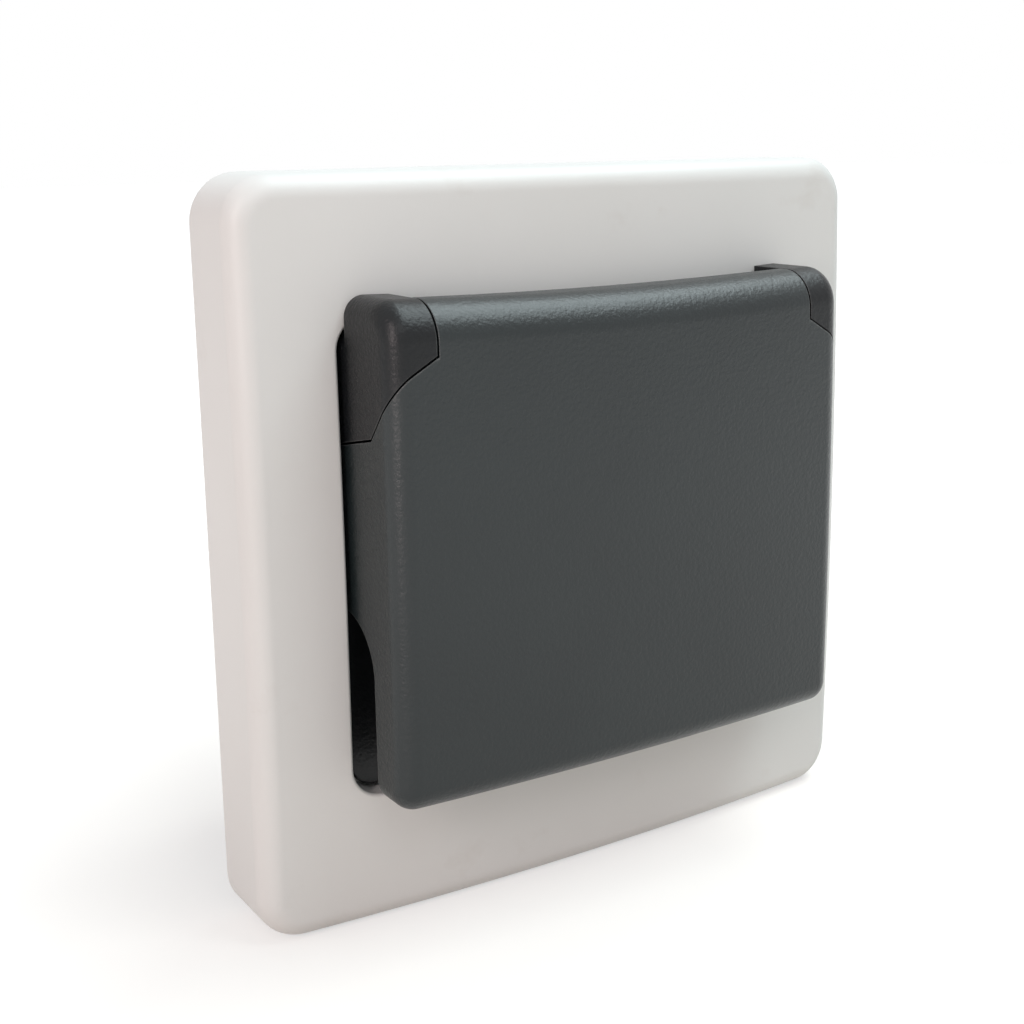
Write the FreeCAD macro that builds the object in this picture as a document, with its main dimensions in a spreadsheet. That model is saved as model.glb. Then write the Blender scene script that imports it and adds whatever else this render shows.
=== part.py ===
import FreeCAD, Part
import math
import os
import Sketcher
from FreeCAD import Placement, Rotation, Vector

# Flush-mounted outdoor socket with a hinged lid, in millimetres.
# X runs to the right, Z up, and the front looks towards -Y. The origin lies in the wall plane, behind
# the middle of the cover frame. Depths in the names below are measured from the wall towards the front.

doc = FreeCAD.newDocument("outdoor_socket")
sheet = doc.addObject("Spreadsheet::Sheet", "size")

SIZES = {
    # Cover frame
    "frame_width": 84.0,  # overall width
    "frame_height": 84.0,  # overall height
    "frame_depth": 13.1,  # depth at the crown of the curved front
    "frame_fall_side": 2.0,  # how far the front falls back to the left and right edges
    "frame_corner": 5.3,  # corner radius seen from the front
    "frame_edge": 2.7,  # radius of the front edge
    "frame_wall": 2.2,  # side wall
    "frame_hollow": 9.0,  # depth of the hollow behind the face
    "opening_width": 62.1,  # width of the opening
    "opening_height": 53.4,  # height of the opening
    "opening_rise": 0.3,  # height of the opening's middle above the socket's
    "opening_corner": 3.5,  # corner radius of the opening
    "collar_wall": 2.0,  # wall of the collar round the opening
    "ledge_depth": 7.6,  # front of the ledge that the centre plate presses on
    "ledge_thick": 1.6,  # thickness of the ledge
    "ledge_reach": 2.5,  # how far the ledge reaches into the opening
    "rib_thick": 1.2,  # stiffening ribs behind the face
    "rib_depth": 5.0,  # how near the ribs come to the wall
    "rib_offset": 20.0,  # distance of the ribs from the middle

    # Centre plate with the socket well
    "plate_gap": 0.5,  # gap between centre plate and opening
    "plate_seal_thick": 0.8,  # seal between the ledge and the centre plate
    "plate_thick": 1.6,  # flange of the centre plate
    "well_radius": 19.75,  # socket well
    "well_front": 15.0,  # front of the well's rim
    "well_depth": 17.5,  # depth of the well
    "well_wall": 2.15,  # wall of the well
    "floor_thick": 2.0,  # floor of the well
    "guide_width": 4.8,  # guide ribs at the sides of the well
    "guide_height": 1.6,  # how far the guide ribs stand into the well
    "guide_setback": 1.5,  # guide ribs start behind the rim
    "pin_hole_radius": 2.75,  # holes for the plug's pins
    "pin_spacing": 19.0,  # distance between the plug's pins
    "window_width": 6.0,  # windows for the earth contacts
    "window_front": 8.2,  # front end of those windows
    "window_inset": 1.7,  # how far those windows open the floor inwards of the wall
    "bridge_depth": 12.8,  # front of the bridge behind the lid's barrel
    "bridge_low": 20.4,  # underside of that bridge

    # Lid and hinge blocks
    "lid_width": 61.0,  # width of lid and hinge blocks
    "lid_low": 25.0,  # lower edge, below the socket's middle
    "lid_top": 29.5,  # upper edge at the sides, above the socket's middle
    "lid_dip": 0.75,  # how much lower the upper edge is in the middle
    "lid_front": 23.4,  # depth of the lid at its crown
    "lid_fall": 1.0,  # fall of the lid's front at its sides
    "lid_side_radius": 2.4,  # radius of the side edges
    "lid_low_radius": 2.8,  # radius of the lower front edge
    "lid_skirt": 10.4,  # rear edge of the lid's side walls
    "lid_wall": 2.1,  # side wall of the lid
    "lid_face_wall": 2.4,  # front wall of the lid
    "axis_depth": 18.5,  # hinge axis, in front of the wall
    "axis_height": 25.2,  # hinge axis, above the socket's middle
    "barrel_radius": 4.25,  # barrel round the hinge axis
    "block_inner": 25.25,  # inner faces of the hinge blocks, from the middle
    "block_low": 15.2,  # underside of the hinge blocks
    "block_rest": 12.35,  # back of the hinge blocks where they overlap the frame
    "seam_gap": 0.25,  # gap between lid and hinge blocks
    "seam_front_inner": 24.1,  # height of the slanted seam at the blocks' inner faces
    "seam_front_outer": 20.3,  # height of that seam at the outer front edge
    "seam_side_low": 15.5,  # height of its lower end on the side
    "seam_side_depth": 17.8,  # depth of its lower end on the side
    "shelf_thick": 1.6,  # lid wall under the hinge blocks
    "grip_depth": 16.4,  # front of the finger grip cut into the skirt
    "grip_top": 4.8,  # top of the finger grip, below the socket's middle
    "grip_radius": 6.5,  # round at the top of the finger grip
    "seat_inner": 18.9,  # inner radius of the ring that holds the lid gasket
    "seat_outer": 22.4,  # outer radius of that ring
    "seat_depth": 16.7,  # rear face of that ring
    "gasket_inner": 19.9,  # inner radius of the lid gasket
    "gasket_outer": 21.4,  # outer radius of the lid gasket
    "gasket_thick": 3.0,  # thickness of the lid gasket
    "gasket_play": 0.05,  # play of the gasket in its groove

    # Hinge pin
    "hinge_pin_radius": 1.0,  # hinge pin
    "hinge_block_play": 0.03,  # radial play of the pin in the blocks
    "hinge_lid_play": 0.06,  # radial play of the pin in the lid
    "hinge_pin_left": 28.6,  # left end of the pin, from the middle
    "hinge_pin_right": 29.9,  # right end of the pin, from the middle

    # Support ring and wall seal
    "wall_seal_gap": 0.4,  # gap between the rubber sheet against the wall and the frame's side walls
    "wall_seal_thick": 1.0,  # thickness of that sheet
    "wall_seal_play": 0.3,  # radial gap between its hole and the base
    "support_size": 71.0,  # support ring, across its flats
    "support_thick": 1.2,  # steel sheet of the support ring
    "support_cut": 13.0,  # cut corners of the support ring
    "support_play": 0.4,  # gap between the support ring and the well
    "screw_spacing": 60.0,  # distance between the box screws
    "slot_width": 3.8,  # width of the slots for the box screws
    "slot_length": 6.0,  # length of the slots for the box screws
    "seal_slot_play": 0.4,  # the seal's slots are wider all round
    "rivet_circle": 23.9,  # radius of the circle of rivets
    "rivet_radius": 0.8,  # rivet shank
    "rivet_head_radius": 1.5,  # rivet head
    "rivet_head_thick": 0.8,  # thickness of the rivet head
    "rivet_length": 6.0,  # rivet shank below its head
    "rivet_play": 0.03,  # radial play of the rivets

    # Socket base behind the wall
    "base_radius": 25.5,  # socket base
    "base_rear": 26.0,  # rear of the base, behind the wall
    "recess_play": 0.3,  # radial gap between the well and the base
    "shutter_room": 2.2,  # height of the shutter's room
    "shutter_thick": 1.8,  # thickness of the shutter
    "shutter_play": 0.2,  # gap between the well's floor and the shutter
    "shutter_half_width": 13.4,  # half of the shutter's width
    "shutter_half_height": 3.4,  # half of the height of the shutter's wings
    "shutter_travel": 6.2,  # travel of the shutter
    "shutter_side_play": 0.35,  # play of the shutter at its sides
    "shutter_hub": 4.6,  # half of the width of the shutter's middle
    "shutter_ramp": 1.2,  # ramp on the upper edge of the wings
    "boss_radius": 2.9,  # screw boss under the well's floor
    "boss_height": 2.1,  # height of that boss
    "boss_play": 0.15,  # play of the shutter round the boss
    "slider_wall": 1.6,  # wall of the shutter round its slot
    "strip_width": 5.0,  # earth bracket
    "strip_thick": 0.8,  # sheet of the earth bracket
    "strip_play": 0.2,  # play beside the earth bracket
    "arm_reach": 21.1,  # outer faces of the bracket's arms, from the middle
    "arm_front": 7.6,  # front ends of the bracket's arms
    "arm_hump": 18.4,  # where the arms grip the plug, from the middle
    "chamber_inner": 6.0,  # inner wall of the contact chambers
    "chamber_outer": 23.6,  # outer wall of the contact chambers
    "chamber_half_height": 4.4,  # half of the height of the contact chambers

    # Contacts, terminals and screws
    "clip_radius": 2.3,  # inside of the contact clips
    "clip_sheet": 0.7,  # sheet of the contact clips
    "clip_mouth": 1.1,  # half of the gap in the contact clips
    "clip_length": 12.0,  # length of the contact clips
    "terminal_inner": 16.6,  # inner face of the terminal blocks, from the middle
    "terminal_outer": 23.3,  # outer face of the terminal blocks, from the middle
    "terminal_half_height": 4.0,  # half of the height of the terminal blocks
    "terminal_front": 14.0,  # front of the terminal blocks, behind the wall
    "wire_place": 19.9,  # wire holes of the terminals, from the middle
    "wire_radius": 1.4,  # wire holes of the terminals
    "wire_depth": 10.0,  # depth of the wire holes
    "earth_inner": 13.2,  # earth terminal, inner face below the middle
    "earth_outer": 20.2,  # earth terminal, outer face below the middle
    "earth_half_width": 3.4,  # half of the width of the earth terminal
    "earth_wire_place": 16.8,  # wire hole of the earth terminal, below the middle
    "earth_play": 0.3,  # room round the earth terminal
    "clamp_screw_place": 20.0,  # clamp screws, behind the wall
    "clamp_screw_radius": 1.6,  # clamp screw shank
    "clamp_head_radius": 2.6,  # clamp screw head
    "clamp_head_thick": 1.6,  # thickness of the clamp screw head
    "driver_slot_width": 0.8,  # slot in the screw heads
    "driver_slot_depth": 0.7,  # depth of that slot
    "clamp_screw_length": 2.4,  # clamp screw shank below its head
    "thread_play": 0.02,  # radial play that stands for the threads
    "centre_screw_radius": 1.5,  # centre screw shank
    "centre_screw_length": 10.0,  # centre screw below the well's floor
    "centre_head_radius": 2.9,  # centre screw head
    "centre_head_thick": 1.5,  # height of its countersunk head
    "centre_hole_radius": 1.65,  # hole for the centre screw
    "cover_inset": 0.3,  # how far the rear cover's edge stays inside the base's
    "cover_thick": 2.0,  # thickness of the rear cover
    "cover_wire_radius": 1.9,  # wire entries in the rear cover

    # Shutter spring
    "spring_reach": 0.75,  # reach of the spring's bends to either side
    "spring_strip": 0.34,  # level distance across the strip
    "spring_width": 1.2,  # width of the strip, front to back
    "spring_runs": 8,  # straight runs between the bends
    "spring_length": 9.0,  # length of the spring at rest
    "spring_end_gap": 0.05,  # gap at each end of the spring
    "spring_room": 1.15,  # half width of the spring's channel
}

for row, (name, number) in enumerate(SIZES.items(), 1):
    sheet.set("A%d" % row, name)
    sheet.set("B%d" % row, str(number))
    sheet.setAlias("B%d" % row, name)
doc.recompute()


def value(expression):
    """The number that an expression on the sheet gives."""
    return float(sheet.evalExpression(expression))


def constrain(sketch, expression, *constraint):
    """Adds a dimension to a sketch and ties it to the sheet."""
    number = sketch.addConstraint(Sketcher.Constraint(*constraint, abs(value(expression))))
    sketch.setExpression("Constraints[%d]" % number, "abs(%s)" % expression)


def place_along(sketch, geometry, point, kind, expression):
    """Fixes a sketch point's distance from the sketch's origin, along one direction."""
    where = value(expression)
    if abs(where) < 1e-9:
        axis = -2 if kind == "DistanceX" else -1
        sketch.addConstraint(Sketcher.Constraint("PointOnObject", geometry, point, axis))
    elif where > 0:
        constrain(sketch, expression, kind, -1, 1, geometry, point)
    else:
        constrain(sketch, expression, kind, geometry, point, -1, 1)


def place_point(sketch, geometry, point, x, y):
    """Fixes a sketch point at x, y from the sketch's origin."""
    place_along(sketch, geometry, point, "DistanceX", x)
    place_along(sketch, geometry, point, "DistanceY", y)


def new_sketch(body, name, plane, offset="0"):
    """A sketch on one of the body's own origin planes, moved along that plane's normal."""
    sketch = body.newObject("Sketcher::SketchObject", name)
    support = [item for item in body.Origin.OriginFeatures if item.Role == plane][0]
    sketch.AttachmentSupport = [(support, "")]
    sketch.MapMode = "FlatFace"
    sketch.setExpression("AttachmentOffset.Base.z", offset)
    return sketch


def add_circle(sketch, radius, x="0", y="0"):
    centre = Vector(value(x), value(y), 0)
    circle = sketch.addGeometry(Part.Circle(centre, Vector(0, 0, 1), value(radius)), False)
    constrain(sketch, radius, "Radius", circle)
    place_point(sketch, circle, 3, x, y)


def add_outline(sketch, corners, closed_arcs=()):
    """A closed outline through the corners. closed_arcs gives, for a corner's number, the centre of an
    arc that leads on to the next corner, and whether it runs anticlockwise."""
    arcs = dict(closed_arcs)
    points = [Vector(value(x), value(y), 0) for x, y in corners]
    count = len(points)
    pieces = []
    for index, start in enumerate(points):
        end = points[(index + 1) % count]
        if index in arcs:
            centre_x, centre_y, anticlockwise = arcs[index]
            centre = Vector(value(centre_x), value(centre_y), 0)
            first, last = (start, end) if anticlockwise else (end, start)
            angles = [math.atan2(p.y - centre.y, p.x - centre.x) for p in (first, last)]
            if angles[1] < angles[0]:
                angles[1] += 2 * math.pi
            circle = Part.Circle(centre, Vector(0, 0, 1), (start - centre).Length)
            number = sketch.addGeometry(Part.ArcOfCircle(circle, *angles), False)
            pieces.append((number, (1, 2) if anticlockwise else (2, 1)))
        else:
            pieces.append((sketch.addGeometry(Part.LineSegment(start, end), False), (1, 2)))
    for index in range(count):
        number, ends = pieces[index]
        after, after_ends = pieces[(index + 1) % count]
        sketch.addConstraint(Sketcher.Constraint("Coincident", number, ends[1], after, after_ends[0]))
    for index, (x, y) in enumerate(corners):
        place_point(sketch, pieces[index][0], pieces[index][1][0], x, y)
    for index in arcs:
        chord = points[(index + 1) % count] - points[index]
        kind, side = ("DistanceY", 1) if abs(chord.x) > abs(chord.y) else ("DistanceX", 0)
        place_along(sketch, pieces[index][0], 3, kind, arcs[index][side])


def add_rectangle(sketch, left, right, low, high):
    add_outline(sketch, [(left, low), (right, low), (right, high), (left, high)])


def add_round_rectangle(sketch, width, height, radius, rise="0"):
    """A rectangle with round corners, its middle at height rise."""
    half_w, half_h, r, mid = "(%s) / 2" % width, "(%s) / 2" % height, "(%s)" % radius, "(%s)" % rise
    left, right = "-%s" % half_w, half_w
    low, high = "%s - %s" % (mid, half_h), "%s + %s" % (mid, half_h)
    in_left, in_right = "%s + %s" % (left, r), "%s - %s" % (right, r)
    in_low, in_high = "%s + %s" % (low, r), "%s - %s" % (high, r)
    corners = [(in_left, low), (in_right, low), (right, in_low), (right, in_high),
               (in_right, high), (in_left, high), (left, in_high), (left, in_low)]
    arcs = {1: (in_right, in_low, True), 3: (in_right, in_high, True),
            5: (in_left, in_high, True), 7: (in_left, in_low, True)}
    add_outline(sketch, corners, arcs)


def add_feature(body, kind, name, sketch, length=None, reverse=False, both_ways=False):
    """A pad or pocket of the sketch. With no length it goes right through."""
    feature = body.newObject("PartDesign::" + kind, name)
    feature.Profile = sketch
    if length is None:
        feature.Type = "ThroughAll"
    else:
        feature.setExpression("Length", length)
    feature.Reversed = reverse
    feature.Midplane = both_ways
    sketch.Visibility = False
    doc.recompute()
    return feature


def cut_feature(body, name, sketch, length=None, reverse=False, both_ways=False):
    """A pocket that has to take material away."""
    before = body.Shape.Volume
    feature = add_feature(body, "Pocket", name, sketch, length, reverse, both_ways)
    if feature.Shape.Volume >= before - 1e-6:
        raise RuntimeError(name + " cuts nothing")
    return feature


def new_body(label):
    body = doc.addObject("PartDesign::Body", label + "_body")
    body.Label = label
    return body


def add_curved_front(body, name, width, height, depth, fall_side):
    """Curves the front of a body back towards its sides, by a groove about an upright axis behind it."""
    plan_radius = "(%s ^ 2 / (8 * %s))" % (width, fall_side)
    front = "-%s - 3" % depth
    profile = new_sketch(body, name + "_profile", "YZ_Plane")
    add_rectangle(profile, front, "-" + depth, "-" + height, height)
    axis_place = "%s - %s" % (plan_radius, depth)
    start = Vector(value(axis_place), -10, 0)
    axis = profile.addGeometry(Part.LineSegment(start, start + Vector(0, 20, 0)), True)
    profile.addConstraint(Sketcher.Constraint("Vertical", axis))
    place_point(profile, axis, 1, axis_place, "-10")
    constrain(profile, "20", "DistanceY", axis, 1, axis, 2)
    groove = body.newObject("PartDesign::Groove", name)
    groove.Profile = profile
    groove.ReferenceAxis = (profile, ["Axis0"])
    groove.Angle = 16
    groove.Midplane = True
    before = body.Shape.Volume
    doc.recompute()
    if body.Shape.Volume >= before:
        raise RuntimeError(name + " cuts nothing")


def dress_edges(body, kind, name, amount, chosen):
    """Fillets or chamfers the edges that the test picks."""
    doc.recompute()
    base = body.Tip
    names = ["Edge%d" % (i + 1) for i, edge in enumerate(base.Shape.Edges) if chosen(edge)]
    feature = body.newObject("PartDesign::" + kind, name)
    feature.Base = (base, names)
    feature.setExpression("Radius" if kind == "Fillet" else "Size", amount)
    doc.recompute()


def add_boolean(kind, label, base, tool):
    result = doc.addObject("Part::" + kind, label)
    result.Base = base
    result.Tool = tool
    doc.recompute()
    return result


def add_cylinder(name, radius, length, direction, x="0", y="0", z="0"):
    """A cylinder that starts at x, y, z and runs along the direction."""
    cylinder = doc.addObject("Part::Cylinder", name)
    cylinder.setExpression("Radius", radius)
    cylinder.setExpression("Height", length)
    cylinder.Placement = Placement(Vector(), Rotation(Vector(0, 0, 1), direction))
    cylinder.setExpression("Placement.Base.x", x)
    cylinder.setExpression("Placement.Base.y", y)
    cylinder.setExpression("Placement.Base.z", z)
    return cylinder


TO_FRONT = Vector(0, -1, 0)
TO_REAR = Vector(0, 1, 0)
TO_RIGHT = Vector(1, 0, 0)
TO_LEFT = Vector(-1, 0, 0)
UP = Vector(0, 0, 1)
nodes = {}

PLATE_BACK = "(size.ledge_depth + size.plate_seal_thick)"
PLATE_FRONT = "(%s + size.plate_thick)" % PLATE_BACK
FLOOR_FRONT = "(size.well_depth - size.well_front)"
FLOOR_REAR = "(%s + size.floor_thick)" % FLOOR_FRONT
WELL_OUTER = "(size.well_radius + size.well_wall)"
SHUTTER_FLOOR = "(%s + size.shutter_room)" % FLOOR_REAR
STRIP_FRONT = "(%s + size.strip_play)" % SHUTTER_FLOOR
STRIP_REAR = "(%s + size.strip_thick)" % STRIP_FRONT
SUPPORT_FRONT = "(size.wall_seal_thick + size.support_thick)"
PLATE_WIDTH = "(size.opening_width - 2 * size.plate_gap)"
PLATE_HEIGHT = "(size.opening_height - 2 * size.plate_gap)"
PLATE_CORNER = "(size.opening_corner - size.plate_gap)"
PIN_PLACE = "(size.pin_spacing / 2)"


# Cover frame: one moulding with a curved face, a collar and ledge round its opening, and hollow behind
def cover_frame():
    body = new_body("cover_frame")
    outline = new_sketch(body, "frame_outline", "XZ_Plane")
    add_round_rectangle(outline, "size.frame_width", "size.frame_height", "size.frame_corner")
    add_feature(body, "Pad", "frame_block", outline, "size.frame_depth + 1")

    add_curved_front(body, "frame_front", "size.frame_width", "size.frame_height",
                     "size.frame_depth", "size.frame_fall_side")
    rear_limit = -value("size.frame_depth - size.frame_fall_side") + 0.3
    dress_edges(body, "Fillet", "front_edge", "size.frame_edge", lambda edge: edge.BoundBox.YMax < rear_limit)

    hollow_width = "(size.frame_width - 2 * size.frame_wall)"
    hollow_height = "(size.frame_height - 2 * size.frame_wall)"
    hollow_corner = "(size.frame_corner - size.frame_wall)"
    collar_width = "(size.opening_width + 2 * size.collar_wall)"
    collar_height = "(size.opening_height + 2 * size.collar_wall)"
    collar_corner = "(size.opening_corner + size.collar_wall)"
    ledge_rear = "(size.ledge_depth - size.ledge_thick)"

    hollow = new_sketch(body, "hollow_outline", "XZ_Plane")
    add_round_rectangle(hollow, hollow_width, hollow_height, hollow_corner)
    cut_feature(body, "rear_hollow", hollow, ledge_rear, reverse=True)
    ring = new_sketch(body, "deep_hollow_outline", "XZ_Plane")
    add_round_rectangle(ring, hollow_width, hollow_height, hollow_corner)
    add_round_rectangle(ring, collar_width, collar_height, collar_corner, "size.opening_rise")
    cut_feature(body, "deep_hollow", ring, "size.frame_hollow", reverse=True)

    inner = new_sketch(body, "ledge_outline", "XZ_Plane")
    add_round_rectangle(inner, "size.opening_width - 2 * size.ledge_reach",
                        "size.opening_height - 2 * size.ledge_reach",
                        "size.opening_corner - size.ledge_reach / 2", "size.opening_rise")
    cut_feature(body, "ledge_hole", inner, "size.frame_depth + 2", reverse=True)
    opening = new_sketch(body, "opening_outline", "XZ_Plane", "size.ledge_depth")
    add_round_rectangle(opening, "size.opening_width", "size.opening_height", "size.opening_corner",
                        "size.opening_rise")
    cut_feature(body, "opening", opening, "size.frame_depth", reverse=True)

    ribs = new_sketch(body, "rib_outlines", "XZ_Plane", "size.rib_depth")
    half_rib = "size.rib_thick / 2"
    inner_x, outer_x = "%s / 2 - 0.5" % collar_width, "%s / 2 + 0.5" % hollow_width
    low_z = "%s / 2 - 0.5 - size.opening_rise" % collar_height
    high_z = "%s / 2 - 0.5 + size.opening_rise" % collar_height
    outer_z = "%s / 2 + 0.5" % hollow_height
    for sign in ("-", ""):
        place = sign + "size.rib_offset"
        add_rectangle(ribs, "-(%s)" % outer_x, "-(%s)" % inner_x, place + " - " + half_rib,
                      place + " + " + half_rib)
        add_rectangle(ribs, inner_x, outer_x, place + " - " + half_rib, place + " + " + half_rib)
        add_rectangle(ribs, place + " - " + half_rib, place + " + " + half_rib, high_z, outer_z)
        add_rectangle(ribs, place + " - " + half_rib, place + " + " + half_rib,
                      "-(%s)" % outer_z, "-(%s)" % low_z)
    add_feature(body, "Pad", "ribs", ribs, "size.frame_hollow - size.rib_depth + 0.2")
    nodes["cover_frame"] = body


# Seal between the frame's ledge and the centre plate: a flat rubber ring
def plate_seal():
    body = new_body("plate_seal")
    outline = new_sketch(body, "plate_seal_outline", "XZ_Plane", "size.ledge_depth")
    add_round_rectangle(outline, PLATE_WIDTH, PLATE_HEIGHT, PLATE_CORNER, "size.opening_rise")
    add_round_rectangle(outline, "size.opening_width - 2 * size.ledge_reach",
                        "size.opening_height - 2 * size.ledge_reach",
                        "size.opening_corner - size.ledge_reach / 2", "size.opening_rise")
    add_feature(body, "Pad", "plate_seal_ring", outline, "size.plate_seal_thick")
    nodes["plate_seal"] = body


# The form that lid and hinge blocks share: a block with a dipping upper edge and a curved front,
# rounded along its upper, lower and side edges
def add_cap_form(body, rear_depth):
    half, top, low = "size.lid_width / 2", "size.lid_top", "-size.lid_low"
    dip_radius = "(size.lid_width ^ 2 / (8 * size.lid_dip) + size.lid_dip / 2)"
    outline = new_sketch(body, body.Name + "_outline", "XZ_Plane", rear_depth)
    add_outline(outline, [("-" + half, low), (half, low), (half, top), ("-" + half, top)],
                {2: ("0", "size.lid_top - size.lid_dip + " + dip_radius, False)})
    add_feature(body, "Pad", body.Name + "_block", outline, "size.lid_front + 1 - " + rear_depth)
    add_curved_front(body, body.Name + "_front", "size.lid_width", "(size.lid_low + size.lid_top)",
                     "size.lid_front", "size.lid_fall")
    rear = -value(rear_depth) - 0.01
    side = value(half)

    def is_front_edge(edge, height):
        box = edge.BoundBox
        return box.XLength > 50 and box.YMax < rear and abs(box.Center.z - height) < 1

    def is_side_edge(edge):
        box = edge.BoundBox
        return box.XLength < 0.01 and abs(abs(box.Center.x) - side) < 0.01 and box.YMin < rear

    dress_edges(body, "Fillet", body.Name + "_top_edge", "size.barrel_radius",
                lambda edge: is_front_edge(edge, value(top)))
    dress_edges(body, "Fillet", body.Name + "_low_edge", "size.lid_low_radius",
                lambda edge: is_front_edge(edge, value(low)))
    dress_edges(body, "Fillet", body.Name + "_side_edges", "size.lid_side_radius", is_side_edge)


def seam_plane(sign, gap):
    """A point on the slanted seam and its direction towards the lid, on the left or right side."""
    half = value("size.lid_width / 2")
    inner = Vector(sign * value("size.block_inner"), -value("size.lid_front - size.lid_fall + 0.3"),
                   value("size.seam_front_inner"))
    outer = Vector(sign * (half - 0.3), -value("size.lid_front - size.lid_fall - 0.7"),
                   value("size.seam_front_outer"))
    low = Vector(sign * half, -value("size.seam_side_depth"), value("size.seam_side_low"))
    direction = (outer - inner).cross(low - inner).normalize()
    if direction.y > 0:
        direction = direction.negative()
    return inner + direction * gap, direction


def add_block_zone(name, sign, inner, low, gap):
    """The space of one hinge block, bounded by its inner face, its underside and the slanted seam."""
    box = doc.addObject("Part::Box", name + "_box")
    for side, length in (("Length", "20"), ("Width", "40"), ("Height", "40")):
        box.setExpression(side, length)
    box.setExpression("Placement.Base.x", inner if sign > 0 else "-(%s) - 20" % inner)
    box.setExpression("Placement.Base.y", "-40")
    box.setExpression("Placement.Base.z", low)
    point, direction = seam_plane(sign, gap)
    behind = doc.addObject("Part::Box", name + "_behind_seam")
    span = 80
    for side in ("Length", "Width", "Height"):
        behind.setExpression(side, str(span))
    turn = Rotation(Vector(0, 0, 1), direction.negative())
    behind.Placement = Placement(point - turn.multVec(Vector(span / 2, span / 2, 0)), turn)
    return add_boolean("Common", name, box, behind)


# Centre plate: flange, socket well and the two hinge blocks, one dark moulding
def centre_plate():
    body = new_body("plate_moulding")
    flange = new_sketch(body, "flange_outline", "XZ_Plane", PLATE_BACK)
    add_round_rectangle(flange, PLATE_WIDTH, PLATE_HEIGHT, PLATE_CORNER, "size.opening_rise")
    add_feature(body, "Pad", "flange", flange, "size.plate_thick")
    cup = new_sketch(body, "cup_outline", "XZ_Plane", "-" + FLOOR_REAR)
    add_circle(cup, WELL_OUTER)
    add_feature(body, "Pad", "cup", cup, "size.well_front + " + FLOOR_REAR)
    bridge = new_sketch(body, "bridge_outline", "XZ_Plane", PLATE_FRONT + " - 0.2")
    add_rectangle(bridge, "-size.block_inner", "size.block_inner", "size.bridge_low",
                  "size.opening_rise + %s / 2" % PLATE_HEIGHT)
    add_feature(body, "Pad", "bridge", bridge, "size.bridge_depth - %s + 0.2" % PLATE_FRONT)
    boss = new_sketch(body, "boss_outline", "XZ_Plane", "-(%s + size.boss_height)" % FLOOR_REAR)
    add_circle(boss, "size.boss_radius")
    add_feature(body, "Pad", "boss", boss, "size.boss_height + 0.2")
    well = new_sketch(body, "well_outline", "XZ_Plane", "size.well_front")
    add_circle(well, "size.well_radius")
    cut_feature(body, "well", well, "size.well_depth")

    guides = new_sketch(body, "guide_outlines", "XZ_Plane", "-" + FLOOR_FRONT)
    guide_in = "size.well_radius - size.guide_height"
    guide_out = "size.well_radius + size.well_wall / 2"
    half_guide = "size.guide_width / 2"
    add_rectangle(guides, guide_in, guide_out, "-" + half_guide, half_guide)
    add_rectangle(guides, "-(%s)" % guide_out, "-(%s)" % guide_in, "-" + half_guide, half_guide)
    add_feature(body, "Pad", "guides", guides, "size.well_depth - size.guide_setback")

    windows = new_sketch(body, "window_outlines", "XZ_Plane", "-" + FLOOR_REAR)
    half_window, window_in = "size.window_width / 2", "size.well_radius - size.window_inset"
    window_out = WELL_OUTER + " + 1"
    add_rectangle(windows, "-" + half_window, half_window, window_in, window_out)
    add_rectangle(windows, "-" + half_window, half_window, "-(%s)" % window_out, "-(%s)" % window_in)
    cut_feature(body, "windows", windows, "%s + size.window_front" % FLOOR_REAR, reverse=True)

    holes = new_sketch(body, "floor_holes", "XZ_Plane", "-" + FLOOR_FRONT)
    add_circle(holes, "size.pin_hole_radius", PIN_PLACE)
    add_circle(holes, "size.pin_hole_radius", "-" + PIN_PLACE)
    add_circle(holes, "size.centre_hole_radius")
    cut_feature(body, "floor_hole_cuts", holes, "10")

    cap_body = new_body("hinge_block_form")
    add_cap_form(cap_body, PLATE_FRONT)
    over_frame = new_sketch(cap_body, "over_frame_outline", "XZ_Plane", "0")
    add_rectangle(over_frame, "-size.lid_width", "size.lid_width", "-size.lid_width", "size.lid_width")
    add_round_rectangle(over_frame, PLATE_WIDTH, PLATE_HEIGHT, PLATE_CORNER, "size.opening_rise")
    cut_feature(cap_body, "over_frame", over_frame, "size.block_rest", reverse=True)
    bore = new_sketch(cap_body, "block_bore_outline", "YZ_Plane", "size.lid_width / 2 + 1")
    add_circle(bore, "size.hinge_pin_radius + size.hinge_block_play", "-size.axis_depth",
               "size.axis_height")
    cut_feature(cap_body, "block_bore", bore, "size.lid_width / 2 + 1 + size.hinge_pin_left")
    zones = [add_block_zone("block_zone_" + name, sign, "size.block_inner", "size.block_low", 0)
             for name, sign in (("left", -1), ("right", 1))]
    both = add_boolean("Fuse", "block_zones", *zones)
    blocks = add_boolean("Common", "hinge_blocks", cap_body, both)

    cone = doc.addObject("Part::Cone", "centre_countersink")
    cone.setExpression("Radius1", "size.centre_head_radius + 0.1")
    cone.setExpression("Radius2", "size.centre_hole_radius")
    cone.setExpression("Height", "size.centre_head_thick")
    cone.Placement = Placement(Vector(), Rotation(UP, TO_REAR))
    cone.setExpression("Placement.Base.y", FLOOR_FRONT)
    moulding = add_boolean("Cut", "countersunk_moulding", body, cone)
    nodes["centre_plate"] = add_boolean("Fuse", "centre_plate", moulding, blocks)


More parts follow.
